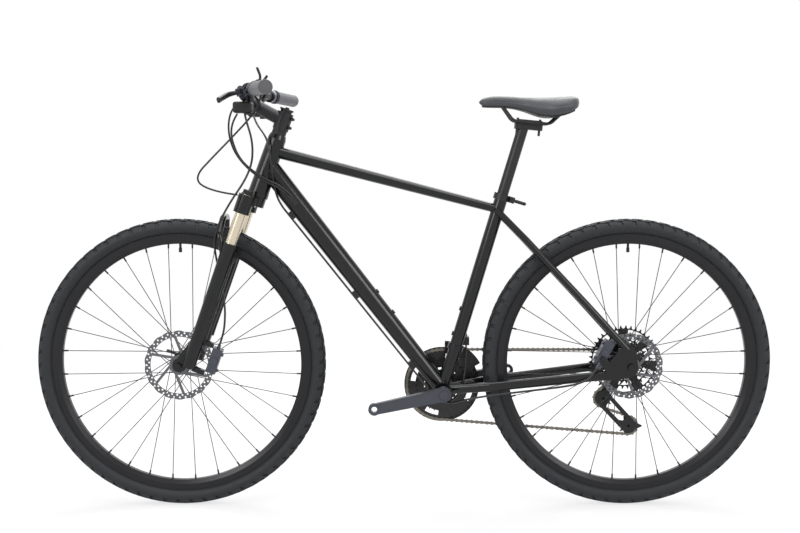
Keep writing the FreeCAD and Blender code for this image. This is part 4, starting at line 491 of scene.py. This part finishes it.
def turned(name: str, base: Point, axis: Point, profile: Pairs,
           count: int = 32) -> bpy.types.Object:
    """Makes a solid of revolution: each profile point is carried round the axis at its radius.

    Args:
        name: The piece's name.
        base: Where the profile's distances start.
        axis: Direction of the axis.
        profile: Distance along the axis and radius, from pole to pole or round to its start.
        count: Points round the axis.

    Returns:
        The solid.
    """
    along = np.array(axis) / np.linalg.norm(axis)
    side = np.cross(along, (0.0, 0.0, 1.0) if abs(along[2]) < UPRIGHT else (1.0, 0.0, 0.0))
    side /= np.linalg.norm(side)
    over = np.cross(along, side)
    angle = np.linspace(0, 2 * math.pi, count + 1)
    s, r = np.array(profile).T
    spread = np.cos(angle)[:, None] * side + np.sin(angle)[:, None] * over
    points = np.array(base) + s[:, None, None] * along + r[:, None, None] * spread
    return welded(name, points, sharp=35.0)


FRONT_AXLE: Point = (-546.0, 0.0, 354.0)
REAR_AXLE: Point = (546.0, 0.0, 354.0)


@dataclass
class Wheel:
    """A wheel: a treaded rubber tyre, and the finishes of its rim, spokes, hub and rotor.

    rib_ends are distances from the crown where the tread's ribs and grooves start and end, and
    block_steps are shares of one block round the wheel. The two gaps name the steps that are cut
    away in the centre and shoulder ribs, and in the ribs between them.
    """

    side: str
    axle: Point
    bead_half: float = 9.5
    bead_radius: float = 311.0
    flange_radius: float = 317.5
    bulge_half: float = 22.0
    bulge_radius: float = 333.0
    shoulder_half: float = 16.5
    shoulder_radius: float = 347.0
    crown_radius: float = 354.0
    casing: float = 4.4
    blocks: int = 66
    groove: float = 3.4
    chevron: float = 9.0
    block_steps: tuple[float, ...] = (0.0, 0.03, 0.25, 0.28, 0.5, 0.53, 0.72, 0.75)
    gap: tuple[int, ...] = (1, 2)
    middle_gap: tuple[int, ...] = (5, 6)
    rib_ends: tuple[float, ...] = (4.6, 5.4, 7.2, 8.0, 12.6, 13.4, 15.2, 16.0, 23.6, 25.0)
    wall_from: float = 28.0
    wall_lines: int = 12
    inner_lines: int = 15
    crown_points: int = 41
    wall_points: int = 60

    def section(self) -> np.ndarray:
        """Right half of the tyre's section: crown arc, then sidewall arc, then straight bead.

        Returns:
            Points of half width and radius, from the crown down to the bead.
        """
        left = (-self.shoulder_half, self.shoulder_radius)
        shoulder = (self.shoulder_half, self.shoulder_radius)
        bulge = (self.bulge_half, self.bulge_radius)
        flange = (self.bead_half, self.flange_radius)
        crown = arc(left, (0.0, self.crown_radius), shoulder, 2 * self.crown_points - 1)
        wall = arc(shoulder, bulge, flange, self.wall_points)
        bead = [(self.bead_half, self.bead_radius)]
        return np.concatenate([crown[self.crown_points - 1:], wall[1:], bead])

    def across(self) -> tuple[np.ndarray, np.ndarray, np.ndarray, np.ndarray]:
        """Lines across the tread: at each rib's edges, then evenly down the sidewall.

        Returns:
            Signed distance from the crown, half width, radius and outward normal of each line.
        """
        half = self.section()
        run = run_along(half)
        wall = np.linspace(self.wall_from, run[-1], self.wall_lines)
        right = np.concatenate([[0.0, self.rib_ends[0] / 2], self.rib_ends, wall])
        s = np.concatenate([-right[:0:-1], right])
        width = np.interp(np.abs(s), run, half[:, 0]) * np.sign(s)
        radius = np.interp(np.abs(s), run, half[:, 1])
        slope = np.stack([np.gradient(width, s), np.gradient(radius, s)], -1)
        normal = np.stack([-slope[:, 1], slope[:, 0]], -1)
        return s, width, radius, normal / np.linalg.norm(slope, axis=1, keepdims=True)

    def raised(self, s: np.ndarray) -> np.ndarray:
        """Says where the tread stands full height: 1 on a block, 0 in a groove.

        Args:
            s: Signed distance of each line from the crown.

        Returns:
            Steps of one block x lines.
        """
        (centre_to, groove_from, groove_to, middle_from, middle_to,
         outer_from, outer_to, shoulder_from, _, shoulder_to) = self.rib_ends
        a = np.abs(s)
        high = np.ones((len(self.block_steps), len(s)))
        high[:, (a >= groove_from) & (a <= groove_to)] = 0
        high[:, (a >= outer_from) & (a <= outer_to)] = 0
        ends = (a <= centre_to) | ((a >= shoulder_from) & (a <= shoulder_to))
        middle = (a >= middle_from) & (a <= middle_to)
        for gap, ribs in ((self.gap, ends), (self.middle_gap, middle)):
            high[np.ix_(gap, np.flatnonzero(ribs))] = 0
        return high

    def tyre(self) -> bpy.types.Object:
        """Builds the tyre as a grid round the wheel and across its section.

        Each line of the section is carried round the axle; where the tread has a groove the point
        moves in along the section's normal, and each line leans forward with its distance from
        the crown, so that the blocks lie in a chevron. An inner skin closes the section.

        Returns:
            The tyre.
        """
        s, width, radius, normal = self.across()
        steps = (np.arange(self.blocks)[:, None] + np.array(self.block_steps)) / self.blocks
        turns = np.append(steps.ravel(), 1.0)
        high = np.tile(self.raised(s), (self.blocks, 1))
        high = np.vstack([high, high[:1]])
        sunk = self.groove * (1 - high)
        y = width - normal[:, 0] * sunk
        r = radius - normal[:, 1] * sunk
        share = np.clip(np.abs(s) / self.rib_ends[-1], 0, 1)
        lean = self.chevron * share / (2 * math.pi * self.crown_radius)
        inner_s = np.linspace(s[-1], s[0], self.inner_lines)
        inner_y = np.interp(inner_s, s, width - normal[:, 0] * self.casing)
        inner_r = np.interp(inner_s, s, radius - normal[:, 1] * self.casing)
        inner_lean = np.interp(inner_s, s, lean)
        ones = np.ones((len(turns), 1))
        y = np.hstack([y, ones * inner_y, y[:, :1]])
        r = np.hstack([r, ones * inner_r, r[:, :1]])
        angle = 2 * math.pi * (turns[:, None] + np.concatenate([lean, inner_lean, lean[:1]]))
        x0, y0, z0 = self.axle
        points = np.stack([x0 + r * np.sin(angle), y0 + y, z0 + r * np.cos(angle)], -1)
        return welded(f"{self.side}_tyre_tread", points, sharp=32.0)

    def build(self) -> None:
        """Builds the tyre and dresses the wheel's CAD nodes."""
        body = f"{self.side}_wheel"
        place(self.tyre(), body, TYRE_RUBBER, f"{self.side}_tyre")
        dress(rim_finish(self.side, self.axle), f"{self.side}_rim")
        dress(SPOKE_STEEL, f"{self.side}_spokes")
        dress(FITTING_BLACK, f"{self.side}_hub")
        dress(rotor_finish(self.side, self.axle), f"{self.side}_rotor")
        dress(DARK_ALLOY, f"{self.side}_axle")


@dataclass
class Saddle:
    """The saddle: a foam pad under a formed skin, its shell, rails and post.

    Half widths, tops and lows belong to the stations along X. The side shares give a section's
    way from its lower edge to its crest, in shares of the half width and of the rise.
    """

    stations: tuple[float, ...] = (
        180.5, 188.0, 205.0, 245.0, 285.0, 320.0, 348.0, 380.0, 405.0, 420.5)
    half_widths: tuple[float, ...] = (
        11.0, 15.0, 19.0, 22.5, 32.0, 53.0, 70.0, 76.0, 66.0, 46.0)
    tops: tuple[float, ...] = (
        994.0, 997.5, 1002.0, 1003.0, 1001.0, 1000.0, 1000.5, 1002.0, 1002.5, 999.0)
    lows: tuple[float, ...] = (
        983.0, 981.0, 980.0, 979.0, 972.0, 961.0, 956.0, 960.0, 970.0, 981.5)
    side_shares: Pairs = ((0.93, 0.0), (1.0, 0.34), (0.86, 0.76), (0.48, 0.955), (0.0, 1.0))
    waist_share: float = 0.55
    end_round: float = 11.0
    channel_depth: float = 2.6
    channel_half: float = 9.0
    channel_from: float = 262.0
    channel_to: float = 408.0
    channel_start: float = 30.0
    channel_stop: float = 24.0
    seam_depth: float = 0.7
    seam_at: float = 0.30
    seam_half: float = 0.012
    seam_in: float = 0.8
    seam_down: float = 0.5
    rows: int = 150
    columns: int = 121
    under_columns: int = 17

    def cover(self) -> bpy.types.Object:
        """Builds the pad: sections along the saddle, closed under it.

        Each section runs from the lower left edge over the top to the lower right edge through
        the side shares times the half width and the rise there. Half width and rise fall to
        nothing at both ends as a quarter ellipse, the top sinks in a bell-shaped channel, and a
        narrow bell-shaped groove runs along each side as its seam.

        Returns:
            The padded cover.
        """
        ease = (1 - np.cos(np.linspace(0, math.pi, self.rows))) / 2
        x = self.stations[0] + (self.stations[-1] - self.stations[0]) * ease
        knots = np.array(self.stations)
        half, top, low = (
            hermite(x, knots, np.array(row)) for row in (self.half_widths, self.tops, self.lows))
        near = np.minimum(x - x[0], x[-1] - x)
        ends = np.sqrt(np.clip(1 - np.clip(1 - near / self.end_round, 0, 1) ** 2, 0, 1))
        waist = low + (top - low) * self.waist_share
        top, low = waist + (top - waist) * ends, waist + (low - waist) * ends
        half = half * ends
        v = np.linspace(-1, 1, self.columns)
        way = 1 - np.abs(v)
        marks = np.linspace(0, 1, len(self.side_shares))
        shares = hermite(way, marks, np.array(self.side_shares))
        y = half[:, None] * shares[:, 0] * np.sign(v)
        z = low[:, None] + (top - low)[:, None] * shares[:, 1]
        along = (np.clip((x - self.channel_from) / self.channel_start, 0, 1)
                 * np.clip((self.channel_to - x) / self.channel_stop, 0, 1))
        bell = np.exp(-((y / self.channel_half) ** 2))
        z -= self.channel_depth * (along * ends)[:, None] * bell
        seam = np.exp(-((way - self.seam_at) / self.seam_half) ** 2) * self.seam_depth
        y -= np.sign(v) * seam * ends[:, None] * self.seam_in
        z -= seam * ends[:, None] * self.seam_down
        under = np.linspace(1, -1, self.under_columns)[1:-1]
        y = np.hstack([y, y[:, -1:] * under, y[:, :1]])
        z = np.hstack([z, z[:, -1:] + 0 * under, z[:, :1]])
        points = np.stack([np.repeat(x[:, None], y.shape[1], 1), y, z], -1)
        return welded("saddle_pad", points, sharp=60.0)

    def build(self) -> None:
        """Builds the cover and dresses the seat's CAD nodes."""
        pad = place(self.cover(), "saddle", SADDLE_SKIN, "saddle_cover")
        dress(NYLON_BLACK, "saddle_base")
        dress(RAIL_STEEL, "saddle_rails")
        dress(FITTING_BLACK, "seatpost")


@dataclass
class Cable:
    """One cable or hose along its route.

    With a hold, which gives a point on its first body and one on its second, it is left where it
    lies, fixed to neither body. Without one it rides on its only body.
    """

    name: str
    node: str
    radius: float
    route: tuple[Point, ...]
    bodies: tuple[str, ...]
    hold: tuple[Point, Point] | None = None

    def line(self) -> bpy.types.Object:
        """Lays a smooth spline with the route as its control points, and makes it a tube.

        Returns:
            The tube, at the origin.
        """
        data = bpy.data.curves.new(self.name, "CURVE")
        data.dimensions = "3D"
        data.resolution_u = 10
        data.bevel_depth = self.radius * MM
        data.bevel_resolution = 4
        data.use_fill_caps = True
        spline = data.splines.new("NURBS")
        spline.points.add(len(self.route) - 1)
        control = np.c_[np.array(self.route) * MM, np.ones(len(self.route))]
        spline.points.foreach_set("co", control.ravel())
        spline.order_u = 3
        spline.use_endpoint_u = True
        curve = bpy.data.objects.new(self.name + "_line", data)
        bpy.context.scene.collection.objects.link(curve)
        mesh = bpy.data.meshes.new_from_object(curve)
        bpy.data.objects.remove(curve)
        mesh.name = self.name
        mesh.materials.clear()
        return shown(self.name, mesh, sharp=50.0)

    def build(self) -> None:
        """Builds the tube, and lets it ride on its only body, or leaves it fixed to neither of its
        two.
        """
        tube = self.line()
        if self.hold is None:
            place(tube, self.bodies[0], CABLE_BLACK, self.node)
            return
        tube.data.materials.append(CABLE_BLACK.material())
        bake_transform(tube)
        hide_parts(self.node)
        LOG.info("%s bends between %s and %s", tube.name, *self.bodies)


JACKET = 2.3
HOSE = 2.5
HOSE_TOP: Point = (-288.9, -9.0, 729.1)
HOSE_LOW: Point = (28.0, -9.0, 329.5)
CABLES = (
    Cable("front_shift_cable", "steering_cables", JACKET, (
        (-395.2, -122.0, 970.0), (-406.0, -121.0, 955.0), (-410.0, -108.0, 905.0),
        (-391.0, -88.0, 852.0), (-340.0, -53.0, 802.0), (-293.8, -28.0, 783.5),
        (-268.6, -24.5, 751.1)),
        ("frame", "steering"), ((-275.0, -25.0, 760.0), (-400.0, -118.0, 955.0))),
    Cable("rear_shift_cable", "steering_cables", JACKET, (
        (-385.0, -133.0, 956.2), (-398.0, -130.0, 938.0), (-403.0, -116.0, 900.0),
        (-383.0, -95.0, 846.0), (-335.0, -60.0, 807.0), (-289.6, -33.0, 786.9),
        (-264.4, -24.5, 754.5)),
        ("frame", "steering"), ((-271.0, -25.0, 762.0), (-395.0, -127.0, 945.0))),
    Cable("rear_hose_loop", "steering_cables", HOSE, (
        (-371.1, 120.0, 994.9), (-382.0, 95.0, 985.0), (-364.0, 40.0, 940.0),
        (-330.0, -26.0, 905.0), (-322.0, -36.0, 868.0), (-318.0, -32.0, 830.0),
        (-314.0, -25.0, 790.0), (-304.5, -9.0, 749.2), HOSE_TOP),
        ("frame", "steering"), ((-302.0, -9.0, 745.0), (-372.0, 100.0, 985.0))),
    Cable("rear_hose_run", "frame_cables", HOSE, (
        HOSE_TOP, HOSE_LOW, (93.0, -9.0, 247.0), (160.0, -40.0, 272.0), (250.0, -57.0, 288.0),
        (400.0, -70.0, 308.0), (436.0, -79.0, 322.0), (456.5, -74.0, 339.0),
        (465.1, -69.5, 355.1)),
        ("frame",)),
    Cable("front_shift_tail", "frame_cables", JACKET, (
        (8.9, 9.0, 390.6), (56.0, 9.0, 298.0), (90.0, 9.0, 246.0), (133.0, 9.0, 262.0),
        (153.0, 12.0, 318.0), (154.0, 28.0, 393.0)),
        ("frame",)),
    Cable("fork_lock_cable", "lockout_cable", JACKET, (
        (-334.0, -88.0, 1013.6), (-336.0, -88.0, 990.0), (-352.0, -90.5, 958.0),
        (-408.0, -96.0, 898.0), (-440.0, -97.0, 866.0), (-499.0, -88.0, 806.0),
        (-455.0, -74.0, 776.0), (-396.0, -65.0, 768.0)),
        ("steering",)),
    Cable("front_hose", "front_brake_hose", HOSE, (
        (-371.1, -120.8, 994.9), (-376.0, -100.5, 990.0), (-372.0, -101.0, 952.0),
        (-353.0, -95.0, 888.0), (-361.0, -90.0, 822.0), (-420.0, -90.0, 738.0),
        (-456.0, -62.0, 668.0), (-452.0, -42.5, 610.0), (-441.0, -42.5, 556.0),
        (-430.0, -58.0, 500.0), (-432.0, -58.0, 452.0), (-439.8, -47.0, 423.4),
        (-447.5, -47.0, 401.7)),
        ("lowers", "steering"), ((-453.0, -45.0, 640.0), (-356.0, -95.0, 860.0))),
)


@dataclass
class Cockpit:
    """Handlebar, stem, grips, brake levers, shifters and fork lock.

    A grip's outline is its collar, its palm and its end, as distance along the bar and radius.
    """

    bar_bend: Point = (-365.9, 84.0, 1014.5)
    bar_end: Point = (-298.0, 328.0, 1007.0)
    grip_length: float = 130.0
    grip_collar: Pairs = (
        (-8.0, 11.1), (-8.0, 16.6), (-7.2, 17.4), (-0.8, 17.4), (0.0, 16.6), (0.6, 15.2),
        (3.0, 15.3), (14.0, 15.7))
    grip_palm: Pairs = ((45.0, 16.0), (85.0, 15.9))
    grip_end: Pairs = (
        (118.0, 15.7), (126.0, 16.0), (131.2, 16.0), (132.6, 15.4), (133.4, 14.0),
        (133.5, 12.6), (133.0, 12.0), (133.3, 11.4), (133.5, 8.0), (133.5, 0.0), (130.0, 0.0),
        (130.0, 11.1))
    palm_from: float = 16.0
    palm_to: float = 117.0
    palm_rows: int = 60
    flute_margin: float = 2.0
    flute_ease: float = 6.0
    flute_count: int = 16
    flute_depth: float = 0.35
    turns: int = 64
    lever_axis: Point = (-0.275637, 0.0, 0.961262)
    blade_line: tuple[Point, ...] = (
        (-373.0, -190.0, 1003.0), (-388.0, -199.0, 999.2), (-397.6, -212.0, 994.6),
        (-402.8, -241.0, 988.0), (-408.0, -275.0, 980.4))
    blade_half: Pairs = ((4.6, 5.0), (5.4, 4.4), (6.2, 3.8), (6.3, 3.5), (6.6, 3.9))
    blade_round: float = 6.0
    blade_flat: float = 0.7
    blade_rows: int = 60
    eye: Pairs = (
        (-5.0, 2.9), (-5.0, 6.6), (-4.6, 7.0), (4.6, 7.0), (5.0, 6.6), (5.0, 2.9), (-5.0, 2.9))

    def grip(self, side: int) -> bpy.types.Object:
        """Builds a grip: its outline turned about the bar's end.

        Shallow flutes run along the palm's stretch: the radius falls by a raised cosine of the
        angle.

        Args:
            side: 1 for the right grip and -1 for the left.

        Returns:
            The grip.
        """
        bend, end = np.array(self.bar_bend), np.array(self.bar_end)
        out = (end - bend) / np.linalg.norm(end - bend)
        up = np.cross(out, (1.0, 0.0, 0.0))
        up /= np.linalg.norm(up)
        fore = np.cross(up, out)
        outline = np.array(self.grip_collar + self.grip_palm + self.grip_end)
        palm = np.linspace(self.palm_from, self.palm_to, self.palm_rows)
        palm_line = np.c_[palm, np.interp(palm, outline[:, 0], outline[:, 1])]
        knots = np.concatenate([self.grip_collar, palm_line, self.grip_end])
        s, r = knots[:, :1], knots[:, 1:]
        angle = np.linspace(0, 2 * math.pi, self.turns + 1)
        first, last = self.palm_from - self.flute_margin, self.palm_to + self.flute_margin
        fluted = (np.clip((s - first) / self.flute_ease, 0, 1)
                  * np.clip((last - s) / self.flute_ease, 0, 1))
        r = r - self.flute_depth * fluted * (1 - np.cos(self.flute_count * angle)) / 2
        start = end - out * self.grip_length
        points = (start + s[..., None] * out + (r * np.cos(angle))[..., None] * up
                  + (r * np.sin(angle))[..., None] * fore)
        points = np.concatenate([points, points[:1]])
        points[..., 1] *= side
        return welded("left_grip" if side < 0 else "right_grip", points, sharp=45.0)

    def lever(self, side: int) -> list[bpy.types.Object]:
        """Builds a brake lever: a flat blade along its curve, and the eye on its pivot.

        The blade's section is a rounded oblong, broad along the pivot's axis, with half sizes
        that change smoothly along the curve and fall to nothing at both ends as a quarter circle.

        Args:
            side: 1 for the right lever and -1 for the left.

        Returns:
            The blade and the eye.
        """
        name = "left" if side < 0 else "right"
        t = np.linspace(0, 1, self.blade_rows)
        knots = np.linspace(0, 1, len(self.blade_line))
        line = hermite(t, knots, np.array(self.blade_line))
        half = hermite(t, knots, np.array(self.blade_half))
        run = run_along(line)
        near = np.clip(1 - np.minimum(run, run[-1] - run) / self.blade_round, 0, 1)
        half = half * np.sqrt(1 - near ** 2)[:, None]
        axis = np.array(self.lever_axis)
        thick = np.cross(np.gradient(line, axis=0), axis)
        thick /= np.linalg.norm(thick, axis=1, keepdims=True)
        angle = np.linspace(0, 2 * math.pi, self.turns + 1)
        broad, deep = (
            np.sign(c) * np.abs(c) ** self.blade_flat for c in (np.cos(angle), np.sin(angle)))
        points = (line[:, None] + (half[:, :1] * broad)[..., None] * axis
                  + (half[:, 1:] * deep)[..., None] * thick[:, None])
        points[..., 1] *= -side
        x, y, z = self.blade_line[0]
        return [welded(f"{name}_lever_blade", points, sharp=60.0),
                turned(f"{name}_lever_eye", (x, -side * y, z), self.lever_axis, self.eye)]

    def build(self) -> None:
        """Builds the grips and levers and dresses the bar's CAD nodes."""
        for side in (-1, 1):
            place(self.grip(side), "steering", GRIP_RUBBER, "grips")
            name = "left" if side < 0 else "right"
            for piece in self.lever(side):
                place(piece, f"{name}_lever", DARK_ALLOY, f"{name}_brake_lever")
        dress(FITTING_BLACK, "headset_spacers", "stem", "stem_faceplate", "handlebar")
        dress(CALIPER_GREY, "brake_lever_bodies")
        dress(NYLON_BLACK, "bar_controls", "left_shift_trigger", "right_shift_trigger",
              "lockout_lever")


@dataclass
class MainFrame:
    """Painted frame and fork, with their fittings."""

    cap_seat: Point = (-373.03, 65.0, 767.86)
    steer_up: Point = (0.333807, 0.0, 0.942641)
    cap: Pairs = (
        (0.1, 0.0), (0.1, 14.4), (2.2, 14.4), (2.8, 13.6), (3.4, 12.5), (10.6, 12.3),
        (11.4, 11.6), (11.4, 5.0), (10.4, 4.4), (10.4, 0.0))
    cap_turns: int = 48

    def build(self) -> None:
        """Builds the caps on the fork's tubes and dresses the frame's and fork's CAD nodes."""
        x, out, z = self.cap_seat
        for name, y in (("left_fork_cap", -out), ("right_fork_cap", out)):
            cap = turned(name, (x, y, z), self.steer_up, self.cap, self.cap_turns)
            place(cap, "steering", NYLON_BLACK)
        dress(FRAME_PAINT, "head_tube", "top_tube", "down_tube", "seat_tube",
              "bottom_bracket_shell", "chainstays", "seatstays", "dropouts", "fork_crown",
              "fork_lowers")
        dress(FITTING_BLACK, "frame_bosses", "seat_clamp", "seat_clamp_lever")
        dress(STANCHION_GOLD, "fork_stanchions")
        dress(CALIPER_GREY, "front_caliper", "rear_caliper")


@dataclass
class Drivetrain:
    """Cranks, rings, chain, sprockets and both derailleurs."""

    upper_pulley: Point = (501.0, 58.0, 252.8)
    lower_pulley: Point = (565.62, 58.0, 183.16)
    cage_top_radius: float = 20.0
    cage_low_radius: float = 19.0
    plate: float = 1.8
    inner_plate_at: float = 51.0
    outer_plate_at: float = 63.2
    window_from: float = 15.0
    window_to: float = 24.0
    window_radii: Pair = (9.5, 8.0)
    tail_reach: float = 30.4
    tail_radius: float = 2.8
    tail_inset: float = 0.4
    tail_step: float = 0.1
    axle_radius: float = 2.8
    axle_slot: float = 0.5
    axle: Pairs = ((0.0, 0.0), (0.0, 2.8), (14.0, 2.8), (14.0, 0.0))

    def cage(self) -> list[bpy.types.Object]:
        """Builds the chain cage: two windowed plates, a tail over the lower wheel and two axles.

        Each plate is the outline round both wheels, with a window between them.

        Returns:
            The pieces of the cage.
        """
        top, low = np.array(self.upper_pulley), np.array(self.lower_pulley)
        way = (low - top) / np.linalg.norm(low - top)
        outline = capsule(top, self.cage_top_radius, low, self.cage_low_radius)
        window = capsule(top + way * self.window_from, self.window_radii[0],
                         low - way * self.window_to, self.window_radii[1])
        tip = low + np.array([self.tail_reach, 0.0, 0.0])
        tail = capsule(low, self.cage_low_radius - self.tail_inset, tip, self.tail_radius)
        hub = capsule(low, self.axle_radius, low + np.array([self.axle_slot, 0.0, 0.0]),
                      self.axle_radius)
        inner, outer = self.inner_plate_at, self.outer_plate_at
        made = [holed_plate("inner_cage_plate", outline, window, inner, inner + self.plate),
                holed_plate("outer_cage_plate", outline, window, outer, outer + self.plate),
                holed_plate("cage_tail", tail, hub, inner + self.tail_step,
                            inner + self.plate + self.tail_step)]
        for name, (x, _, z) in (("guide_axle", top), ("tension_axle", low)):
            made.append(turned(name, (x, inner, z), (0.0, 1.0, 0.0), self.axle))
        return made

    def build(self) -> None:
        """Builds the chain cage and dresses the drivetrain's CAD nodes."""
        for piece in self.cage():
            place(piece, "chain_cage", FITTING_BLACK, "derailleur_cage")
        dress(CRANK_GREY, "left_crank_arm", "right_crank_arm")
        dress(RING_BLACK, "chainrings", "cassette")
        dress(CHAIN_STEEL, "chain")
        dress(NYLON_BLACK, "chain_guard", "upper_pulley", "lower_pulley")
        dress(FITTING_BLACK, "rear_derailleur")
        dress(DARK_ALLOY, "front_derailleur", "front_derailleur_cage")


@dataclass(frozen=True)
class Lamp:
    """A soft square lamp: where it hangs, what it is turned to, its side and its watts."""

    name: str
    at: Point
    aim: Point
    size: float
    power: float

    def hang(self) -> None:
        """Hangs the lamp, tilted from straight down and swung round to its aim."""
        lamp = bpy.data.lights.new(self.name, "AREA")
        lamp.size = self.size * MM
        lamp.energy = self.power
        hung = bpy.data.objects.new(self.name, lamp)
        hung.location = [c * MM for c in self.at]
        x, y, z = np.array(self.aim) - np.array(self.at)
        tilt = math.acos(-z / np.linalg.norm((x, y, z)))
        hung.rotation_euler = (tilt, 0.0, math.atan2(y, x) - math.pi / 2)
        bpy.context.scene.collection.objects.link(hung)


@dataclass
class Studio:
    """White sweep, soft lamps and the camera."""

    eye: Point = (-10.1, -2884.0, 859.0)
    pitch: float = 5.31
    lens: float = 53.325
    sensor: float = 36.0
    clip_end: float = 60000.0
    reach: float = 12000.0
    wall_at: float = 8000.0
    wall_bend: float = 1500.0
    bend_steps: int = 25
    floor_white: str = "#f3f3f5"
    lift: float = 0.7
    fade_from: float = 1500.0
    fade_to: float = 3000.0
    room: float = 0.18
    lamps: tuple[Lamp, ...] = (
        Lamp("overhead", (0.0, -300.0, 3600.0), (0.0, 0.0, 500.0), 3000.0, 95.0),
        Lamp("left_front", (-2600.0, -3000.0, 2300.0), (-100.0, 0.0, 500.0), 1800.0, 68.0),
        Lamp("right_front", (2800.0, -2800.0, 2000.0), (200.0, 0.0, 500.0), 1800.0, 52.0),
        Lamp("behind", (400.0, 2600.0, 2600.0), (0.0, 0.0, 500.0), 2400.0, 40.0),
        Lamp("backdrop", (0.0, 2300.0, 3600.0), (0.0, 4600.0, 900.0), 3000.0, 150.0))

    def sweep(self) -> None:
        """Makes the floor and wall as one sheet: floor, quarter circle and wall along X."""
        turn = np.linspace(0, math.pi / 2, self.bend_steps)
        wall = self.wall_at + self.wall_bend
        y = np.concatenate([[-self.reach], self.wall_at + self.wall_bend * np.sin(turn), [wall]])
        z = np.concatenate([[0.0], self.wall_bend * (1 - np.cos(turn)), [self.reach]])
        x = np.array([-self.reach, self.reach])
        points = np.stack(np.broadcast_arrays(x[None, :], y[:, None], z[:, None]), -1)
        sheet = welded("white_sweep", points)
        sheet.data.materials.append(self.paper())

    def seen(self, tree: bpy.types.NodeTree) -> bpy.types.NodeSocket:
        """Says whether a ray shows the backdrop, straight, mirrored or through glass.

        Args:
            tree: The node tree of the paper or the room.

        Returns:
            The answer: 1 where the backdrop is seen, and 0 for its light on other things.
        """
        ray = add(tree, "ShaderNodeLightPath").outputs
        rays = add(tree, "ShaderNodeMath", {
            0: ray["Is Camera Ray"], 1: ray["Is Glossy Ray"]}, operation="ADD")
        rays = add(tree, "ShaderNodeMath", {
            0: rays.outputs[0], 1: ray["Is Transmission Ray"]}, operation="ADD",
            use_clamp=True)
        return rays.outputs[0]

    def paper(self) -> bpy.types.Material:
        """Makes the sweep's white paper, lifted towards white where it is seen.

        Near the bike the lift is partial, so that the floor keeps the shadow; it grows with the
        distance from there, up to full white.

        Returns:
            The paper's material.
        """
        made = bpy.data.materials.new("white_paper")
        made.use_nodes = True
        tree = made.node_tree
        tree.nodes.clear()
        spot = add(tree, "ShaderNodeTexCoord").outputs["Object"]
        away = add(tree, "ShaderNodeVectorMath", {0: spot}, operation="LENGTH")
        lift = add(tree, "ShaderNodeMapRange", {
            "Value": away.outputs["Value"], "From Min": self.fade_from * MM,
            "From Max": self.fade_to * MM, "To Min": self.lift, "To Max": 1.0})
        share = add(tree, "ShaderNodeMath", {0: self.seen(tree), 1: lift.outputs[0]},
                    operation="MULTIPLY")
        dull = add(tree, "ShaderNodeBsdfDiffuse", {"Color": linear(self.floor_white)})
        white = add(tree, "ShaderNodeEmission", {"Color": WHITE, "Strength": 1.0})
        mixed = add(tree, "ShaderNodeMixShader", {
            0: share.outputs[0], 1: dull.outputs[0], 2: white.outputs[0]})
        add(tree, "ShaderNodeOutputMaterial", {"Surface": mixed.outputs[0]})
        return made

    def light(self) -> None:
        """Hangs the lamps in a dim room that is seen as white."""
        for lamp in self.lamps:
            lamp.hang()
        world = bpy.data.worlds.new("dim_room")
        world.use_nodes = True
        tree = world.node_tree
        tree.nodes.clear()
        glow = add(tree, "ShaderNodeMapRange", {
            "Value": self.seen(tree), "To Min": self.room, "To Max": 1.0})
        sky = add(tree, "ShaderNodeBackground", {"Color": WHITE, "Strength": glow.outputs[0]})
        add(tree, "ShaderNodeOutputWorld", {"Surface": sky.outputs[0]})
        bpy.context.scene.world = world

    def camera(self) -> None:
        """Sets the camera at the photograph's viewing angle."""
        data = bpy.data.cameras.new("camera")
        data.lens = self.lens
        data.sensor_width = self.sensor
        data.sensor_fit = "HORIZONTAL"
        data.clip_end = self.clip_end * MM
        eye = bpy.data.objects.new("camera", data)
        eye.location = [c * MM for c in self.eye]
        eye.rotation_euler = (math.radians(90 - self.pitch), 0.0, 0.0)
        bpy.context.scene.collection.objects.link(eye)
        bpy.context.scene.camera = eye

    def build(self) -> None:
        """Sets up the studio."""
        self.camera()
        self.sweep()
        self.light()
        bpy.context.scene.view_settings.view_transform = "Standard"


def main() -> None:
    """Builds the studio and the bike's sub-assemblies in order."""
    logging.basicConfig(level=logging.INFO, format="%(message)s")
    Studio().build()
    for cable in CABLES:
        cable.build()
    Wheel("front", FRONT_AXLE).build()
    Wheel("rear", REAR_AXLE).build()
    Saddle().build()
    Cockpit().build()
    MainFrame().build()
    Drivetrain().build()


if __name__ == "__main__":
    main()
